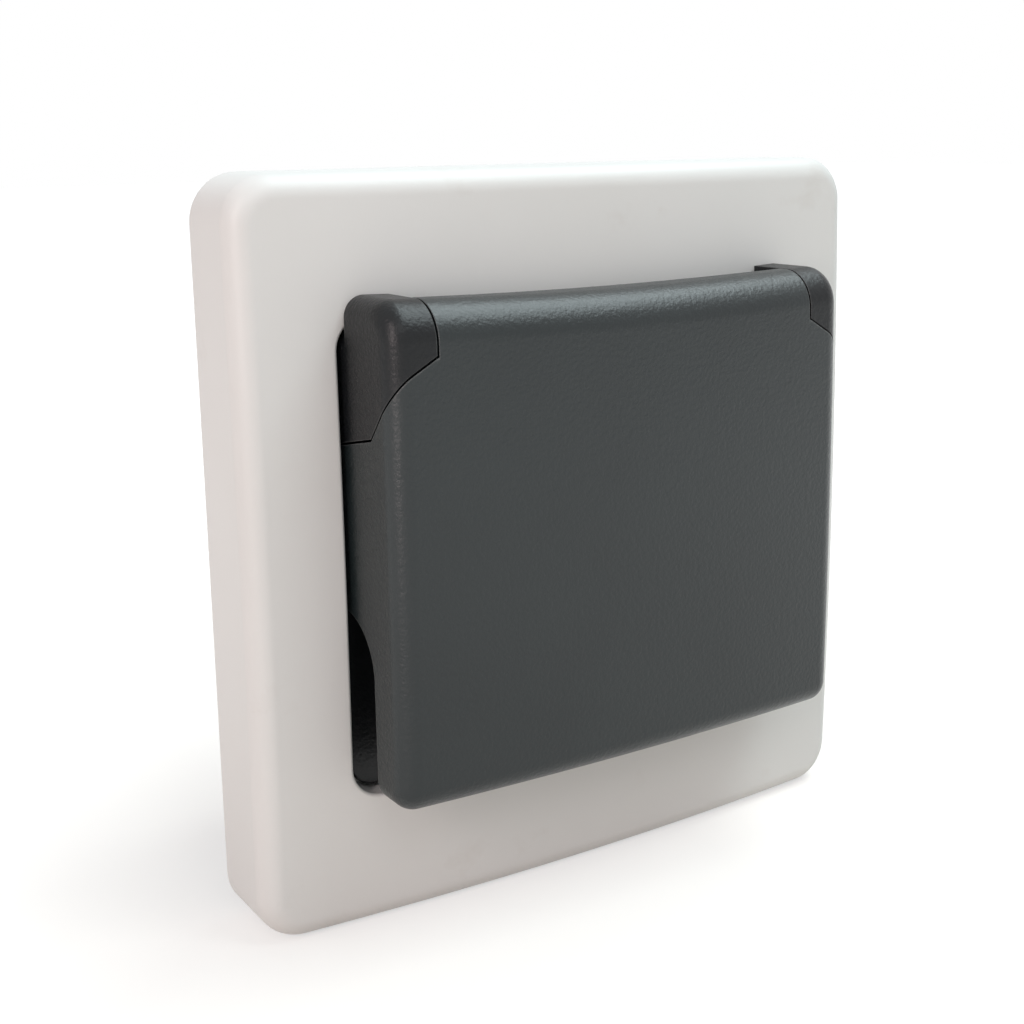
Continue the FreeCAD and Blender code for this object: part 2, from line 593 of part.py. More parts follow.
# Lid: a hollow moulded flap with a barrel at its upper edge and a ring that holds the gasket
def lid():
    body = new_body("lid_moulding")
    add_cap_form(body, "size.lid_skirt")
    inner_face = "-(size.lid_front - size.lid_fall + 0.9 - size.lid_face_wall)"
    axis_y, axis_z = "-size.axis_depth", "size.axis_height"
    low = "-(size.lid_low - size.lid_wall)"
    rear, above = "-size.lid_skirt + 3", "size.lid_top + 3"
    hollow = new_sketch(body, "hollow_profile", "YZ_Plane")
    barrel_low = axis_z + " - size.barrel_radius"
    barrel_top = axis_z + " + size.barrel_radius"
    add_outline(hollow, [(rear, low), (rear, above), (axis_y, above), (axis_y, barrel_top),
                         (axis_y, barrel_low), (inner_face, barrel_low), (inner_face, low)],
                {3: (axis_y, axis_z, False)})
    cut_feature(body, "hollow", hollow, "2 * (size.block_inner - size.seam_gap)", both_ways=True)
    wide = new_sketch(body, "wide_hollow_profile", "YZ_Plane")
    add_rectangle(wide, inner_face, rear, low, "size.block_low - size.seam_gap - size.shelf_thick")
    cut_feature(body, "wide_hollow", wide, "size.lid_width - 2 * size.lid_wall", both_ways=True)

    seat = new_sketch(body, "gasket_seat_outline", "XZ_Plane", "size.seat_depth")
    add_circle(seat, "size.seat_outer")
    add_circle(seat, "size.seat_inner")
    add_feature(body, "Pad", "gasket_seat", seat, "-(%s) - size.seat_depth + 0.3" % inner_face)
    groove = new_sketch(body, "gasket_groove_outline", "XZ_Plane", "size.well_front")
    add_circle(groove, "size.gasket_outer + size.gasket_play")
    add_circle(groove, "size.gasket_inner - size.gasket_play")
    cut_feature(body, "gasket_groove", groove, "size.gasket_thick", reverse=True)

    grip = new_sketch(body, "grip_profile", "YZ_Plane")
    grip_front, grip_top = "-size.grip_depth", "-size.grip_top"
    add_outline(grip, [("%s + size.grip_radius" % grip_front, grip_top), (rear, grip_top),
                       (rear, "-size.lid_low - 2"), (grip_front, "-size.lid_low - 2"),
                       (grip_front, grip_top + " - size.grip_radius")],
                {4: ("%s + size.grip_radius" % grip_front, grip_top + " - size.grip_radius", False)})
    cut_feature(body, "finger_grip", grip, both_ways=True)
    bore = new_sketch(body, "barrel_bore_outline", "YZ_Plane")
    add_circle(bore, "size.hinge_pin_radius + size.hinge_lid_play", axis_y, axis_z)
    cut_feature(body, "barrel_bore", bore, both_ways=True)

    zone_inner = "size.block_inner - size.seam_gap"
    zone_low = "size.block_low - size.seam_gap"
    result = body
    for name, sign in (("left", -1), ("right", 1)):
        zone = add_block_zone("lid_clearance_" + name, sign, zone_inner, zone_low,
                              value("size.seam_gap"))
        result = add_boolean("Cut", "lid_less_" + name, result, zone)
        swing = add_cylinder("swing_clearance_" + name, "size.barrel_radius + 0.3", "20",
                             TO_LEFT if sign < 0 else TO_RIGHT,
                             "%d * (%s)" % (sign, zone_inner), axis_y, axis_z)
        result = add_boolean("Cut", "lid_swung_" + name, result, swing)
    nodes["lid"] = result


# Gasket: a soft ring in the lid that closes on the well's rim
def lid_gasket():
    body = new_body("lid_gasket")
    ring = new_sketch(body, "gasket_outline", "XZ_Plane", "size.well_front")
    add_circle(ring, "size.gasket_outer")
    add_circle(ring, "size.gasket_inner")
    add_feature(body, "Pad", "gasket_ring", ring, "size.gasket_thick")
    nodes["lid_gasket"] = body


# Hinge pin: a plain steel pin, pushed in from the right-hand block
def hinge_pin():
    pin = add_cylinder("hinge_pin", "size.hinge_pin_radius", "size.hinge_pin_left + size.hinge_pin_right",
                       TO_RIGHT, "-size.hinge_pin_left", "-size.axis_depth", "size.axis_height")
    nodes["hinge_pin"] = pin


def add_slots(sketch, play):
    """Four slots for the box screws, each pointing at the middle."""
    half_w = "(size.slot_width / 2 + %s)" % play
    reach = "(size.slot_length / 2 - size.slot_width / 2)"
    near, far = "(size.screw_spacing / 2 - %s)" % reach, "(size.screw_spacing / 2 + %s)" % reach
    for sign, ccw in (("", True), ("-", False)):
        add_outline(sketch, [(sign + near, "-" + half_w), (sign + far, "-" + half_w),
                             (sign + far, half_w), (sign + near, half_w)],
                    {1: (sign + far, "0", ccw), 3: (sign + near, "0", ccw)})
        add_outline(sketch, [("-" + half_w, sign + near), ("-" + half_w, sign + far),
                             (half_w, sign + far), (half_w, sign + near)],
                    {1: ("0", sign + far, not ccw), 3: ("0", sign + near, not ccw)})


# Wall seal: a rubber sheet between the support ring and the wall
def wall_seal():
    body = new_body("wall_seal")
    outline = new_sketch(body, "wall_seal_outline", "XZ_Plane")
    inset = "2 * (size.frame_wall + size.wall_seal_gap)"
    add_round_rectangle(outline, "size.frame_width - " + inset, "size.frame_height - " + inset,
                        "size.frame_corner - size.frame_wall")
    add_circle(outline, "size.base_radius + size.wall_seal_play")
    add_slots(outline, "size.seal_slot_play")
    add_feature(body, "Pad", "wall_seal_sheet", outline, "size.wall_seal_thick")
    nodes["wall_seal"] = body


# Support ring: punched steel sheet that carries the base and takes the box screws
def support_ring():
    body = new_body("support_ring")
    outline = new_sketch(body, "support_outline", "XZ_Plane", "size.wall_seal_thick")
    half, cut = "(size.support_size / 2)", "(size.support_size / 2 - size.support_cut)"
    corners = [("-" + cut, "-" + half), (cut, "-" + half), (half, "-" + cut), (half, cut),
               (cut, half), ("-" + cut, half), ("-" + half, cut), ("-" + half, "-" + cut)]
    add_outline(outline, corners)
    add_circle(outline, WELL_OUTER + " + size.support_play")
    add_slots(outline, "0")
    diagonal = "size.rivet_circle * sqrt(0.5)"
    for x in ("", "-"):
        for z in ("", "-"):
            add_circle(outline, "size.rivet_radius + size.rivet_play", x + diagonal, z + diagonal)
    add_feature(body, "Pad", "support_sheet", outline, "size.support_thick")
    nodes["support_ring"] = body


# Rivets that hold the base to the support ring
def ring_rivets():
    rivets = []
    diagonal = "size.rivet_circle * sqrt(0.5)"
    for number, (x, z) in enumerate((("", ""), ("-", ""), ("-", "-"), ("", "-"))):
        place = (x + diagonal, "-" + SUPPORT_FRONT, z + diagonal)
        shank = add_cylinder("rivet_shank_%d" % number, "size.rivet_radius", "size.rivet_length",
                             TO_REAR, *place)
        head = add_cylinder("rivet_head_%d" % number, "size.rivet_head_radius",
                            "size.rivet_head_thick", TO_FRONT, *place)
        rivets.append(add_boolean("Fuse", "rivet_%d" % number, shank, head))
    group = doc.addObject("Part::Compound", "ring_rivets")
    group.Links = rivets
    nodes["ring_rivets"] = group


# Socket base: the insulating moulding in the wall box that holds contacts and shutter
def socket_base():
    body = new_body("socket_base")
    outline = new_sketch(body, "base_outline", "XZ_Plane", "-size.base_rear")
    add_circle(outline, "size.base_radius")
    add_feature(body, "Pad", "base_block", outline, "size.base_rear + size.wall_seal_thick")
    recess = new_sketch(body, "cup_recess_outline", "XZ_Plane", "size.wall_seal_thick")
    add_circle(recess, WELL_OUTER + " + size.recess_play")
    cut_feature(body, "cup_recess", recess, "size.wall_seal_thick + " + FLOOR_REAR)

    play = "size.shutter_side_play"
    wings = new_sketch(body, "shutter_room_outline", "XZ_Plane", "-(%s - 0.5)" % FLOOR_REAR)
    add_rectangle(wings, "-(size.shutter_half_width + %s)" % play, "size.shutter_half_width + " + play,
                  "-(size.shutter_half_height + size.shutter_travel + %s)" % play,
                  "size.shutter_half_height + " + play)
    cut_feature(body, "shutter_room", wings, "size.shutter_room + 0.5")
    hub = new_sketch(body, "hub_room_outline", "XZ_Plane", "-(%s - 0.5)" % FLOOR_REAR)
    hub_top = "(size.boss_radius + size.boss_play + size.shutter_travel + size.slider_wall)"
    hub_low = "(size.boss_radius + size.boss_play + size.slider_wall + size.shutter_travel)"
    add_rectangle(hub, "-(size.shutter_hub + %s)" % play, "size.shutter_hub + " + play,
                  "-(%s + %s)" % (hub_low, play), "%s + %s" % (hub_top, play))
    cut_feature(body, "hub_room", hub, "size.shutter_room + 0.5")
    channel = new_sketch(body, "spring_channel_outline", "XZ_Plane", "-(%s - 0.5)" % FLOOR_REAR)
    spring_low = "(size.boss_radius + size.boss_play + size.slider_wall + size.spring_length)"
    add_rectangle(channel, "-size.spring_room", "size.spring_room", "-" + spring_low, "-4")
    cut_feature(body, "spring_channel", channel, "size.shutter_room + 0.5")

    slot = new_sketch(body, "bracket_slot_outline", "XZ_Plane", "-(%s - 0.5)" % FLOOR_REAR)
    half_slot = "(size.strip_width / 2 + size.strip_play)"
    arm = "(size.arm_reach + size.strip_play)"
    add_rectangle(slot, "-" + half_slot, half_slot, "-" + arm, arm)
    cut_feature(body, "bracket_slot", slot, "%s - %s + 0.5" % (STRIP_REAR, FLOOR_REAR))

    pins = new_sketch(body, "base_holes_outline", "XZ_Plane", "-(%s - 0.5)" % SHUTTER_FLOOR)
    add_circle(pins, "size.pin_hole_radius", PIN_PLACE)
    add_circle(pins, "size.pin_hole_radius", "-" + PIN_PLACE)
    cut_feature(body, "base_pin_holes", pins, "3")
    centre = new_sketch(body, "base_centre_outline", "XZ_Plane", "-(%s - 0.5)" % STRIP_REAR)
    add_circle(centre, "size.centre_screw_radius + 0.3")
    cut_feature(body, "base_centre_hole", centre, "size.centre_screw_length")

    rooms = new_sketch(body, "chamber_outlines", "XZ_Plane", "-size.base_rear")
    height = "size.chamber_half_height"
    add_rectangle(rooms, "size.chamber_inner", "size.chamber_outer", "-" + height, height)
    add_rectangle(rooms, "-size.chamber_outer", "-size.chamber_inner", "-" + height, height)
    add_rectangle(rooms, "-(size.earth_half_width + size.earth_play)",
                  "size.earth_half_width + size.earth_play", "-(size.earth_outer + size.earth_play)",
                  "-(size.earth_inner - size.earth_play)")
    cut_feature(body, "chambers", rooms, "size.base_rear - " + STRIP_REAR, reverse=True)

    result = body
    reach = "size.base_radius - size.terminal_inner"
    for name, direction, x, z in (("left", TO_LEFT, "-size.terminal_inner", "0"),
                                  ("right", TO_RIGHT, "size.terminal_inner", "0"),
                                  ("low", Vector(0, 0, -1), "0", "-size.earth_inner")):
        way = add_cylinder("driver_way_" + name, "size.clamp_head_radius + 0.3", reach + " + 6",
                           direction, x, "size.clamp_screw_place", z)
        result = add_boolean("Cut", "base_less_" + name, result, way)
    for number, (x, z) in enumerate((("", ""), ("-", ""), ("-", "-"), ("", "-"))):
        diagonal = "size.rivet_circle * sqrt(0.5)"
        hole = add_cylinder("rivet_hole_%d" % number, "size.rivet_radius + size.rivet_play",
                            "size.rivet_length - size.support_thick + size.wall_seal_thick", TO_REAR,
                            x + diagonal, "-size.wall_seal_thick - 0.5", z + diagonal)
        result = add_boolean("Cut", "base_less_rivet_%d" % number, result, hole)
    nodes["socket_base"] = result


# Rear cover: closes the contact chambers and has the wire entries
def rear_cover():
    body = new_body("rear_cover")
    outline = new_sketch(body, "rear_cover_outline", "XZ_Plane", "-(size.base_rear + size.cover_thick)")
    add_circle(outline, "size.base_radius - size.cover_inset")
    add_circle(outline, "size.cover_wire_radius", "size.wire_place")
    add_circle(outline, "size.cover_wire_radius", "-size.wire_place")
    add_circle(outline, "size.cover_wire_radius", "0", "-size.earth_wire_place")
    add_feature(body, "Pad", "cover_disc", outline, "size.cover_thick")
    nodes["rear_cover"] = body


# Earth bracket: a bent strip across the base, its arms gripping the plug through the well's windows
def earth_bracket():
    body = new_body("earth_bracket")
    profile = new_sketch(body, "bracket_profile", "YZ_Plane")
    outer, thick = "size.arm_reach", "size.strip_thick"
    inner = "(%s - %s)" % (outer, thick)
    tip, hump = "-size.arm_front", "size.arm_hump"
    half = [("-0.5", outer), ("-3.6", "%s + %s" % (hump, thick)), (tip, outer + " - 0.3"),
            (tip, inner + " - 0.3"), ("-3.6", hump), ("-0.9", inner), (STRIP_FRONT, inner)]
    mirrored = [(y, "-(%s)" % z) for y, z in reversed(half)]
    add_outline(profile, [(STRIP_REAR, outer)] + half + mirrored + [(STRIP_REAR, "-" + outer)])
    add_feature(body, "Pad", "bracket_strip", profile, "size.strip_width", both_ways=True)
    hole = new_sketch(body, "bracket_hole_outline", "XZ_Plane", "-(%s - 1)" % STRIP_FRONT)
    add_circle(hole, "size.centre_screw_radius + size.thread_play")
    cut_feature(body, "bracket_hole", hole, "3")
    nodes["earth_bracket"] = body


# Line and neutral contacts: a sprung clip for the plug's pin and a terminal block, in brass
def pole_contact(label, sign):
    body = new_body(label)
    clip = new_sketch(body, label + "_clip_outline", "XZ_Plane", "-(%s + size.clip_length)" % STRIP_REAR)
    outer = "(size.clip_radius + size.clip_sheet)"
    mouth = "size.clip_mouth"
    inner_x = "sqrt(size.clip_radius ^ 2 - size.clip_mouth ^ 2)"
    outer_x = "sqrt(%s ^ 2 - size.clip_mouth ^ 2)" % outer
    centre = "%s%s" % (sign, PIN_PLACE)
    towards = "-" if sign == "" else "+"
    points = [("%s %s %s" % (centre, towards, outer_x), "-" + mouth),
              ("%s %s %s" % (centre, towards, outer_x), mouth),
              ("%s %s %s" % (centre, towards, inner_x), mouth),
              ("%s %s %s" % (centre, towards, inner_x), "-" + mouth)]
    right = sign == ""
    add_outline(clip, points, {0: (centre, "0", right), 2: (centre, "0", not right)})
    add_feature(body, "Pad", label + "_clip", clip, "size.clip_length")
    tail = new_sketch(body, label + "_tail_outline", "XZ_Plane",
                      "-(%s + size.clip_length)" % STRIP_REAR)
    near = "%s(size.pin_spacing / 2 + size.clip_radius + size.clip_sheet / 2)" % sign
    far = "%s(size.terminal_inner + 0.5)" % sign
    sides = (near, far) if sign == "" else (far, near)
    add_rectangle(tail, sides[0], sides[1], "-size.clip_sheet / 2", "size.clip_sheet / 2")
    add_feature(body, "Pad", label + "_tail", tail, "size.clip_length")
    block = new_sketch(body, label + "_block_outline", "XZ_Plane", "-size.base_rear")
    near, far = sign + "size.terminal_inner", sign + "size.terminal_outer"
    sides = (near, far) if sign == "" else (far, near)
    add_rectangle(block, sides[0], sides[1], "-size.terminal_half_height", "size.terminal_half_height")
    add_feature(body, "Pad", label + "_block", block, "size.base_rear - size.terminal_front")
    wire = new_sketch(body, label + "_wire_outline", "XZ_Plane", "-size.base_rear")
    add_circle(wire, "size.wire_radius", sign + "size.wire_place")
    cut_feature(body, label + "_wire_hole", wire, "size.wire_depth", reverse=True)
    direction = TO_RIGHT if sign == "" else TO_LEFT
    thread = add_cylinder(label + "_thread", "size.clamp_screw_radius + size.thread_play", "10",
                          direction, sign + "size.wire_place", "size.clamp_screw_place")
    nodes[label] = add_boolean("Cut", label + "_threaded", body, thread)


# Earth terminal: a brass block on the rear of the bracket
def earth_terminal():
    body = new_body("earth_terminal_block")
    block = new_sketch(body, "earth_block_outline", "XZ_Plane", "-size.base_rear")
    add_rectangle(block, "-size.earth_half_width", "size.earth_half_width", "-size.earth_outer",
                  "-size.earth_inner")
    add_feature(body, "Pad", "earth_block", block, "size.base_rear - " + STRIP_REAR)
    wire = new_sketch(body, "earth_wire_outline", "XZ_Plane", "-size.base_rear")
    add_circle(wire, "size.wire_radius", "0", "-size.earth_wire_place")
    cut_feature(body, "earth_wire_hole", wire, "size.wire_depth", reverse=True)
    thread = add_cylinder("earth_thread", "size.clamp_screw_radius + size.thread_play", "10",
                          Vector(0, 0, -1), "0", "size.clamp_screw_place", "-size.earth_wire_place")
    nodes["earth_terminal"] = add_boolean("Cut", "earth_threaded", body, thread)


# Clamp screws: slotted cheese-head screws that press the wires in their terminals
def clamp_screw(label, direction, x, z):
    place = (x, "size.clamp_screw_place", z)
    head = add_cylinder(label + "_head", "size.clamp_head_radius", "size.clamp_head_thick", direction,
                        *place)
    shank = add_cylinder(label + "_shank", "size.clamp_screw_radius", "size.clamp_screw_length",
                         direction.negative(), *place)
    screw = add_boolean("Fuse", label + "_blank", head, shank)
    slot = doc.addObject("Part::Box", label + "_slot")
    slot.setExpression("Length", "2 * size.clamp_head_radius + 1")
    slot.setExpression("Width", "size.driver_slot_width")
    slot.setExpression("Height", "size.driver_slot_depth + 1")
    turn = Rotation(UP, direction)
    corner = Vector(-value("size.clamp_head_radius + 0.5"), -value("size.driver_slot_width / 2"),
                    value("size.clamp_head_thick - size.driver_slot_depth"))
    slot.Placement = Placement(Vector(*[value(item) for item in place]) + turn.multVec(corner), turn)
    nodes[label] = add_boolean("Cut", label, screw, slot)


# Centre screw: draws the centre plate and the frame against the wall
def centre_screw():
    head = doc.addObject("Part::Cone", "centre_screw_head")
    head.setExpression("Radius1", "size.centre_head_radius")
    head.setExpression("Radius2", "size.centre_screw_radius")
    head.setExpression("Height", "size.centre_head_thick")
    head.Placement = Placement(Vector(), Rotation(UP, TO_REAR))
    head.setExpression("Placement.Base.y", FLOOR_FRONT)
    shank = add_cylinder("centre_screw_shank", "size.centre_screw_radius", "size.centre_screw_length",
                         TO_REAR, "0", FLOOR_FRONT)
    screw = add_boolean("Fuse", "centre_screw_blank", head, shank)
    slot = doc.addObject("Part::Box", "centre_screw_slot")
    slot.setExpression("Length", "2 * size.centre_head_radius + 1")
    slot.setExpression("Width", "size.driver_slot_depth + 1")
    slot.setExpression("Height", "size.driver_slot_width")
    slot.setExpression("Placement.Base.x", "-size.centre_head_radius - 0.5")
    slot.setExpression("Placement.Base.y", FLOOR_FRONT + " - 1")
    slot.setExpression("Placement.Base.z", "-size.driver_slot_width / 2")
    nodes["centre_screw"] = add_boolean("Cut", "centre_screw", screw, slot)


# Shutter: a slider whose wings cover the pin holes until both pins press on their ramps
def shutter():
    body = new_body("shutter")
    start = "-(%s + size.shutter_play + size.shutter_thick)" % FLOOR_REAR
    reach = "(size.boss_radius + size.boss_play)"
    top = "(%s + size.shutter_travel + size.slider_wall)" % reach
    low = "-(%s + size.slider_wall)" % reach
    wing, tall, hub = "size.shutter_half_width", "size.shutter_half_height", "size.shutter_hub"
    outline = new_sketch(body, "shutter_outline", "XZ_Plane", start)
    add_outline(outline, [("-" + wing, "-" + tall), ("-" + hub, "-" + tall), ("-" + hub, low),
                          (hub, low), (hub, "-" + tall), (wing, "-" + tall), (wing, tall),
                          (hub, tall), (hub, top), ("-" + hub, top), ("-" + hub, tall),
                          ("-" + wing, tall)])
    add_feature(body, "Pad", "shutter_plate", outline, "size.shutter_thick")
    slot = new_sketch(body, "shutter_slot_outline", "XZ_Plane", start)
    add_outline(slot, [(reach, "0"), (reach, "size.shutter_travel"),
                       ("-" + reach, "size.shutter_travel"), ("-" + reach, "0")],
                {1: ("0", "size.shutter_travel", True), 3: ("0", "0", True)})
    cut_feature(body, "shutter_slot", slot, "size.shutter_thick", reverse=True)
    front = -value(FLOOR_REAR + " + size.shutter_play")
    high = value(tall)

    def is_ramp_edge(edge):
        box = edge.BoundBox
        on_top = abs(box.ZMin - high) < 0.01 and abs(box.ZMax - high) < 0.01
        return on_top and box.YLength < 0.01 and abs(box.Center.y + front) < 0.01

    dress_edges(body, "Chamfer", "shutter_ramps", "size.shutter_ramp", is_ramp_edge)
    nodes["shutter"] = body


# Shutter spring: a steel strip bent to a zigzag below the shutter, in the base's channel
def shutter_spring():
    body = new_body("shutter_spring")
    start = "-(%s + (size.shutter_room + size.spring_width) / 2)" % FLOOR_REAR
    low = "-(size.boss_radius + size.boss_play + size.slider_wall + size.spring_length)"
    left, right = [], []
    runs = round(value("size.spring_runs"))
    for bend in range(runs + 1):
        sign = "-" if bend % 2 else ""
        height = (low + " + size.spring_end_gap + (size.spring_length - 2 * size.spring_end_gap)"
                  " * %d / size.spring_runs" % bend)
        left.append((sign + "size.spring_reach - size.spring_strip / 2", height))
        right.append((sign + "size.spring_reach + size.spring_strip / 2", height))
    outline = new_sketch(body, "spring_outline", "XZ_Plane", start)
    add_outline(outline, left + right[::-1])
    add_feature(body, "Pad", "spring_strip", outline, "size.spring_width")
    nodes["shutter_spring"] = body


cover_frame()
plate_seal()
centre_plate()
lid()
lid_gasket()
hinge_pin()
wall_seal()
support_ring()
ring_rivets()
socket_base()
rear_cover()
earth_bracket()
pole_contact("line_contact", "-")
pole_contact("neutral_contact", "")
earth_terminal()
clamp_screw("line_screw", TO_LEFT, "-size.terminal_outer", "0")
clamp_screw("neutral_screw", TO_RIGHT, "size.terminal_outer", "0")
clamp_screw("earth_screw", Vector(0, 0, -1), "0", "-size.earth_outer")
centre_screw()
shutter()
shutter_spring()

doc.recompute()
for item in doc.Objects:
    if "Invalid" in item.State or "Error" in item.State:
        raise RuntimeError("failed: %s %s" % (item.Label, item.State))
os.makedirs("parts", exist_ok=True)
for name, node in nodes.items():
    node.Label = name
    shape = node.Shape
    if shape.isNull() or not shape.isValid():
        raise RuntimeError("bad shape: " + name)
    shape.exportStep("parts/%s.step" % name)
    print("%-16s solids %d volume %.1f" % (name, len(shape.Solids), shape.Volume))
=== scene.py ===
import math
import bmesh
import bpy
from mathutils import Matrix, Vector


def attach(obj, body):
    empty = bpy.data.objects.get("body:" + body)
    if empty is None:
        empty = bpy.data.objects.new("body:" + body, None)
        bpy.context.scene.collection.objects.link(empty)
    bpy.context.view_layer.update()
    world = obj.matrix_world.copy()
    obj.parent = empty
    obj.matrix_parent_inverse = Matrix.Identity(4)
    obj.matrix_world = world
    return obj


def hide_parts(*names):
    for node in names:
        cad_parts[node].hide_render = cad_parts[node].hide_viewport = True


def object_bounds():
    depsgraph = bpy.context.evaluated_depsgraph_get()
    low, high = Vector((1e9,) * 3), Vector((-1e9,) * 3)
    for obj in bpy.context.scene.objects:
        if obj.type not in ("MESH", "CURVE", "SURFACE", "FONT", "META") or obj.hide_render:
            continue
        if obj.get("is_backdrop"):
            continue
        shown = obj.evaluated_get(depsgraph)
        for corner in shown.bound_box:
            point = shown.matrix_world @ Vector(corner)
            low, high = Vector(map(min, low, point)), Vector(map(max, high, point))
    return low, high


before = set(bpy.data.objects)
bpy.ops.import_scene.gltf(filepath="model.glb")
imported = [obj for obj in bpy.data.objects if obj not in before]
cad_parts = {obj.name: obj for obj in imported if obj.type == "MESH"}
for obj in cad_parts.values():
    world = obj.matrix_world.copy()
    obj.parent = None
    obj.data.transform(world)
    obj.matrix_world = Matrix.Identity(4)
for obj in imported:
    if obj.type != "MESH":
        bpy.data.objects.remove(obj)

cad_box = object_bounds()


# Wall seal: a sheet of black rubber, 1 mm thick, laid between the support ring and the wall so that
# no rain runs in behind the frame. It is die-cut, with a hole for the base and four slots for the
# box screws.

def new_finish(name):
    """An empty finish with its shader, and the object's own coordinates to draw patterns from."""
    finish = bpy.data.materials.new(name)
    finish.use_nodes = True
    nodes = finish.node_tree.nodes
    nodes.clear()
    out = nodes.new("ShaderNodeOutputMaterial")
    shader = nodes.new("ShaderNodeBsdfPrincipled")
    finish.node_tree.links.new(shader.outputs["BSDF"], out.inputs["Surface"])
    place = nodes.new("ShaderNodeTexCoord").outputs["Object"]
    return finish, shader, place


def noise(finish, place, size, detail=2.0, rough=0.5, stretch=None):
    """A cloudy pattern with patches about size metres across, drawn out along an axis if wanted."""
    tree = finish.node_tree
    if stretch:
        mapping = tree.nodes.new("ShaderNodeMapping")
        mapping.inputs["Scale"].default_value = stretch
        tree.links.new(place, mapping.inputs["Vector"])
        place = mapping.outputs["Vector"]
    node = tree.nodes.new("ShaderNodeTexNoise")
    node.inputs["Scale"].default_value = 1.0 / size
    node.inputs["Detail"].default_value = detail
    node.inputs["Roughness"].default_value = rough
    tree.links.new(place, node.inputs["Vector"])
    return node.outputs["Fac"]


def spread(finish, factor, low, high, start=0.3, end=0.7):
    """Turns a pattern into numbers between low and high."""
    node = finish.node_tree.nodes.new("ShaderNodeMapRange")
    node.inputs["From Min"].default_value = start
    node.inputs["From Max"].default_value = end
    node.inputs["To Min"].default_value = low
    node.inputs["To Max"].default_value = high
    finish.node_tree.links.new(factor, node.inputs["Value"])
    return node.outputs["Result"]


def tint(finish, factor, first, second, start=0.3, end=0.7):
    """Blends two colours by a pattern."""
    node = finish.node_tree.nodes.new("ShaderNodeValToRGB")
    node.color_ramp.elements[0].position = start
    node.color_ramp.elements[0].color = (*first, 1)
    node.color_ramp.elements[1].position = end
    node.color_ramp.elements[1].color = (*second, 1)
    finish.node_tree.links.new(factor, node.inputs["Fac"])
    return node.outputs["Color"]


def soft_edges(finish, radius):
    """The direction of the surface with its sharp edges broken by a small radius."""
    node = finish.node_tree.nodes.new("ShaderNodeBevel")
    node.samples = 6
    node.inputs["Radius"].default_value = radius
    return node.outputs["Normal"]


def relief(finish, shader, *layers, edge):
    """Breaks sharp edges and raises the surface by patterns, each with its height in metres."""
    tree = finish.node_tree
    last = soft_edges(finish, edge)
    for height, factor in layers:
        node = tree.nodes.new("ShaderNodeBump")
        node.inputs["Distance"].default_value = height
        tree.links.new(factor, node.inputs["Height"])
        tree.links.new(last, node.inputs["Normal"])
        last = node.outputs["Normal"]
    tree.links.new(last, shader.inputs["Normal"])


def moulded_rubber():
    """Matt black rubber with a faint cloudy bloom."""
    finish, shader, place = new_finish("black rubber")
    tree = finish.node_tree
    fresh, bloomed = (0.012, 0.012, 0.013), (0.022, 0.022, 0.021)
    bloom = noise(finish, place, 0.006, detail=4.0)
    grain = noise(finish, place, 0.00035, detail=3.0, rough=0.7)
    tree.links.new(tint(finish, bloom, fresh, bloomed), shader.inputs["Base Color"])
    tree.links.new(spread(finish, bloom, 0.62, 0.82), shader.inputs["Roughness"])
    relief(finish, shader, (0.00003, grain), edge=0.00015)
    return finish


rubber = moulded_rubber()


def round_off(shape, items, radius, parts, affect="VERTICES"):
    """Rounds corners of a flat outline, or edges of a solid."""
    bmesh.ops.bevel(shape, geom=items, offset=radius, offset_type="OFFSET", segments=parts,
                    profile=0.5, affect=affect, material=-1)


def outline(half_width, half_height, corner, corner_parts=12, side_parts=20):
    """A round-cornered outline in the wall plane, whose points remember where they began."""
    shape = bmesh.new()
    bmesh.ops.create_grid(shape, x_segments=1, y_segments=1, size=1.0)
    bmesh.ops.scale(shape, vec=(half_width, half_height, 1), verts=shape.verts)
    bmesh.ops.rotate(shape, cent=(0, 0, 0), matrix=Matrix.Rotation(math.pi / 2, 3, "X"),
                     verts=shape.verts)
    round_off(shape, shape.verts[:], corner, corner_parts)
    bmesh.ops.delete(shape, geom=shape.faces[:], context="FACES_ONLY")
    sides = [edge for edge in shape.edges if edge.calc_length() > corner]
    bmesh.ops.subdivide_edges(shape, edges=sides, cuts=side_parts)
    first = shape.verts.layers.float_vector.new("first")
    for point in shape.verts:
        point[first] = point.co
    return shape, first


def on_outline(first, start, half_width, half_height, corner, middle=0.0):
    """Where a point of the outline called start comes to lie on another round-cornered outline."""
    placed = []
    for value, old_half, new_half in ((first.x, start[0], half_width),
                                      (first.z, start[1], half_height)):
        straight = old_half - start[2]
        if abs(value) > straight + 1e-5:
            round_part = (abs(value) - straight) * corner / start[2]
            value = math.copysign(new_half - corner + round_part, value)
        else:
            value *= (new_half - corner) / straight
        placed.append(value)
    return Vector((placed[0], 0, placed[1] + middle))


def grow(shape, edges, first, place):
    """Draws the skin on from an edge loop to its next place."""
    made = bmesh.ops.extrude_edge_only(shape, edges=edges)["geom"]
    for item in made:
        if isinstance(item, bmesh.types.BMVert):
            item.co = place(item[first])
    return [item for item in made if isinstance(item, bmesh.types.BMEdge)]


def at(start, half_width, half_height, corner, depth, middle=0.0):
    """Puts an outline's points on another outline, at a depth in front of the wall."""
    def place(first):
        point = on_outline(first, start, half_width, half_height, corner, middle)
        point.y = -depth
        return point
    return place


def on_circle(radius, depth):
    """Puts an outline's points on a circle about the socket's middle."""
    def place(first):
        point = first.normalized() * radius
        point.y = -depth
        return point
    return place


def block(low, high):
    """A plain blank between two corners, in millimetres."""
    shape = bmesh.new()
    bmesh.ops.create_cube(shape, size=1.0)
    low, high = Vector(low), Vector(high)
    bmesh.ops.scale(shape, vec=high - low, verts=shape.verts)
    bmesh.ops.translate(shape, vec=(low + high) / 2, verts=shape.verts)
    return shape


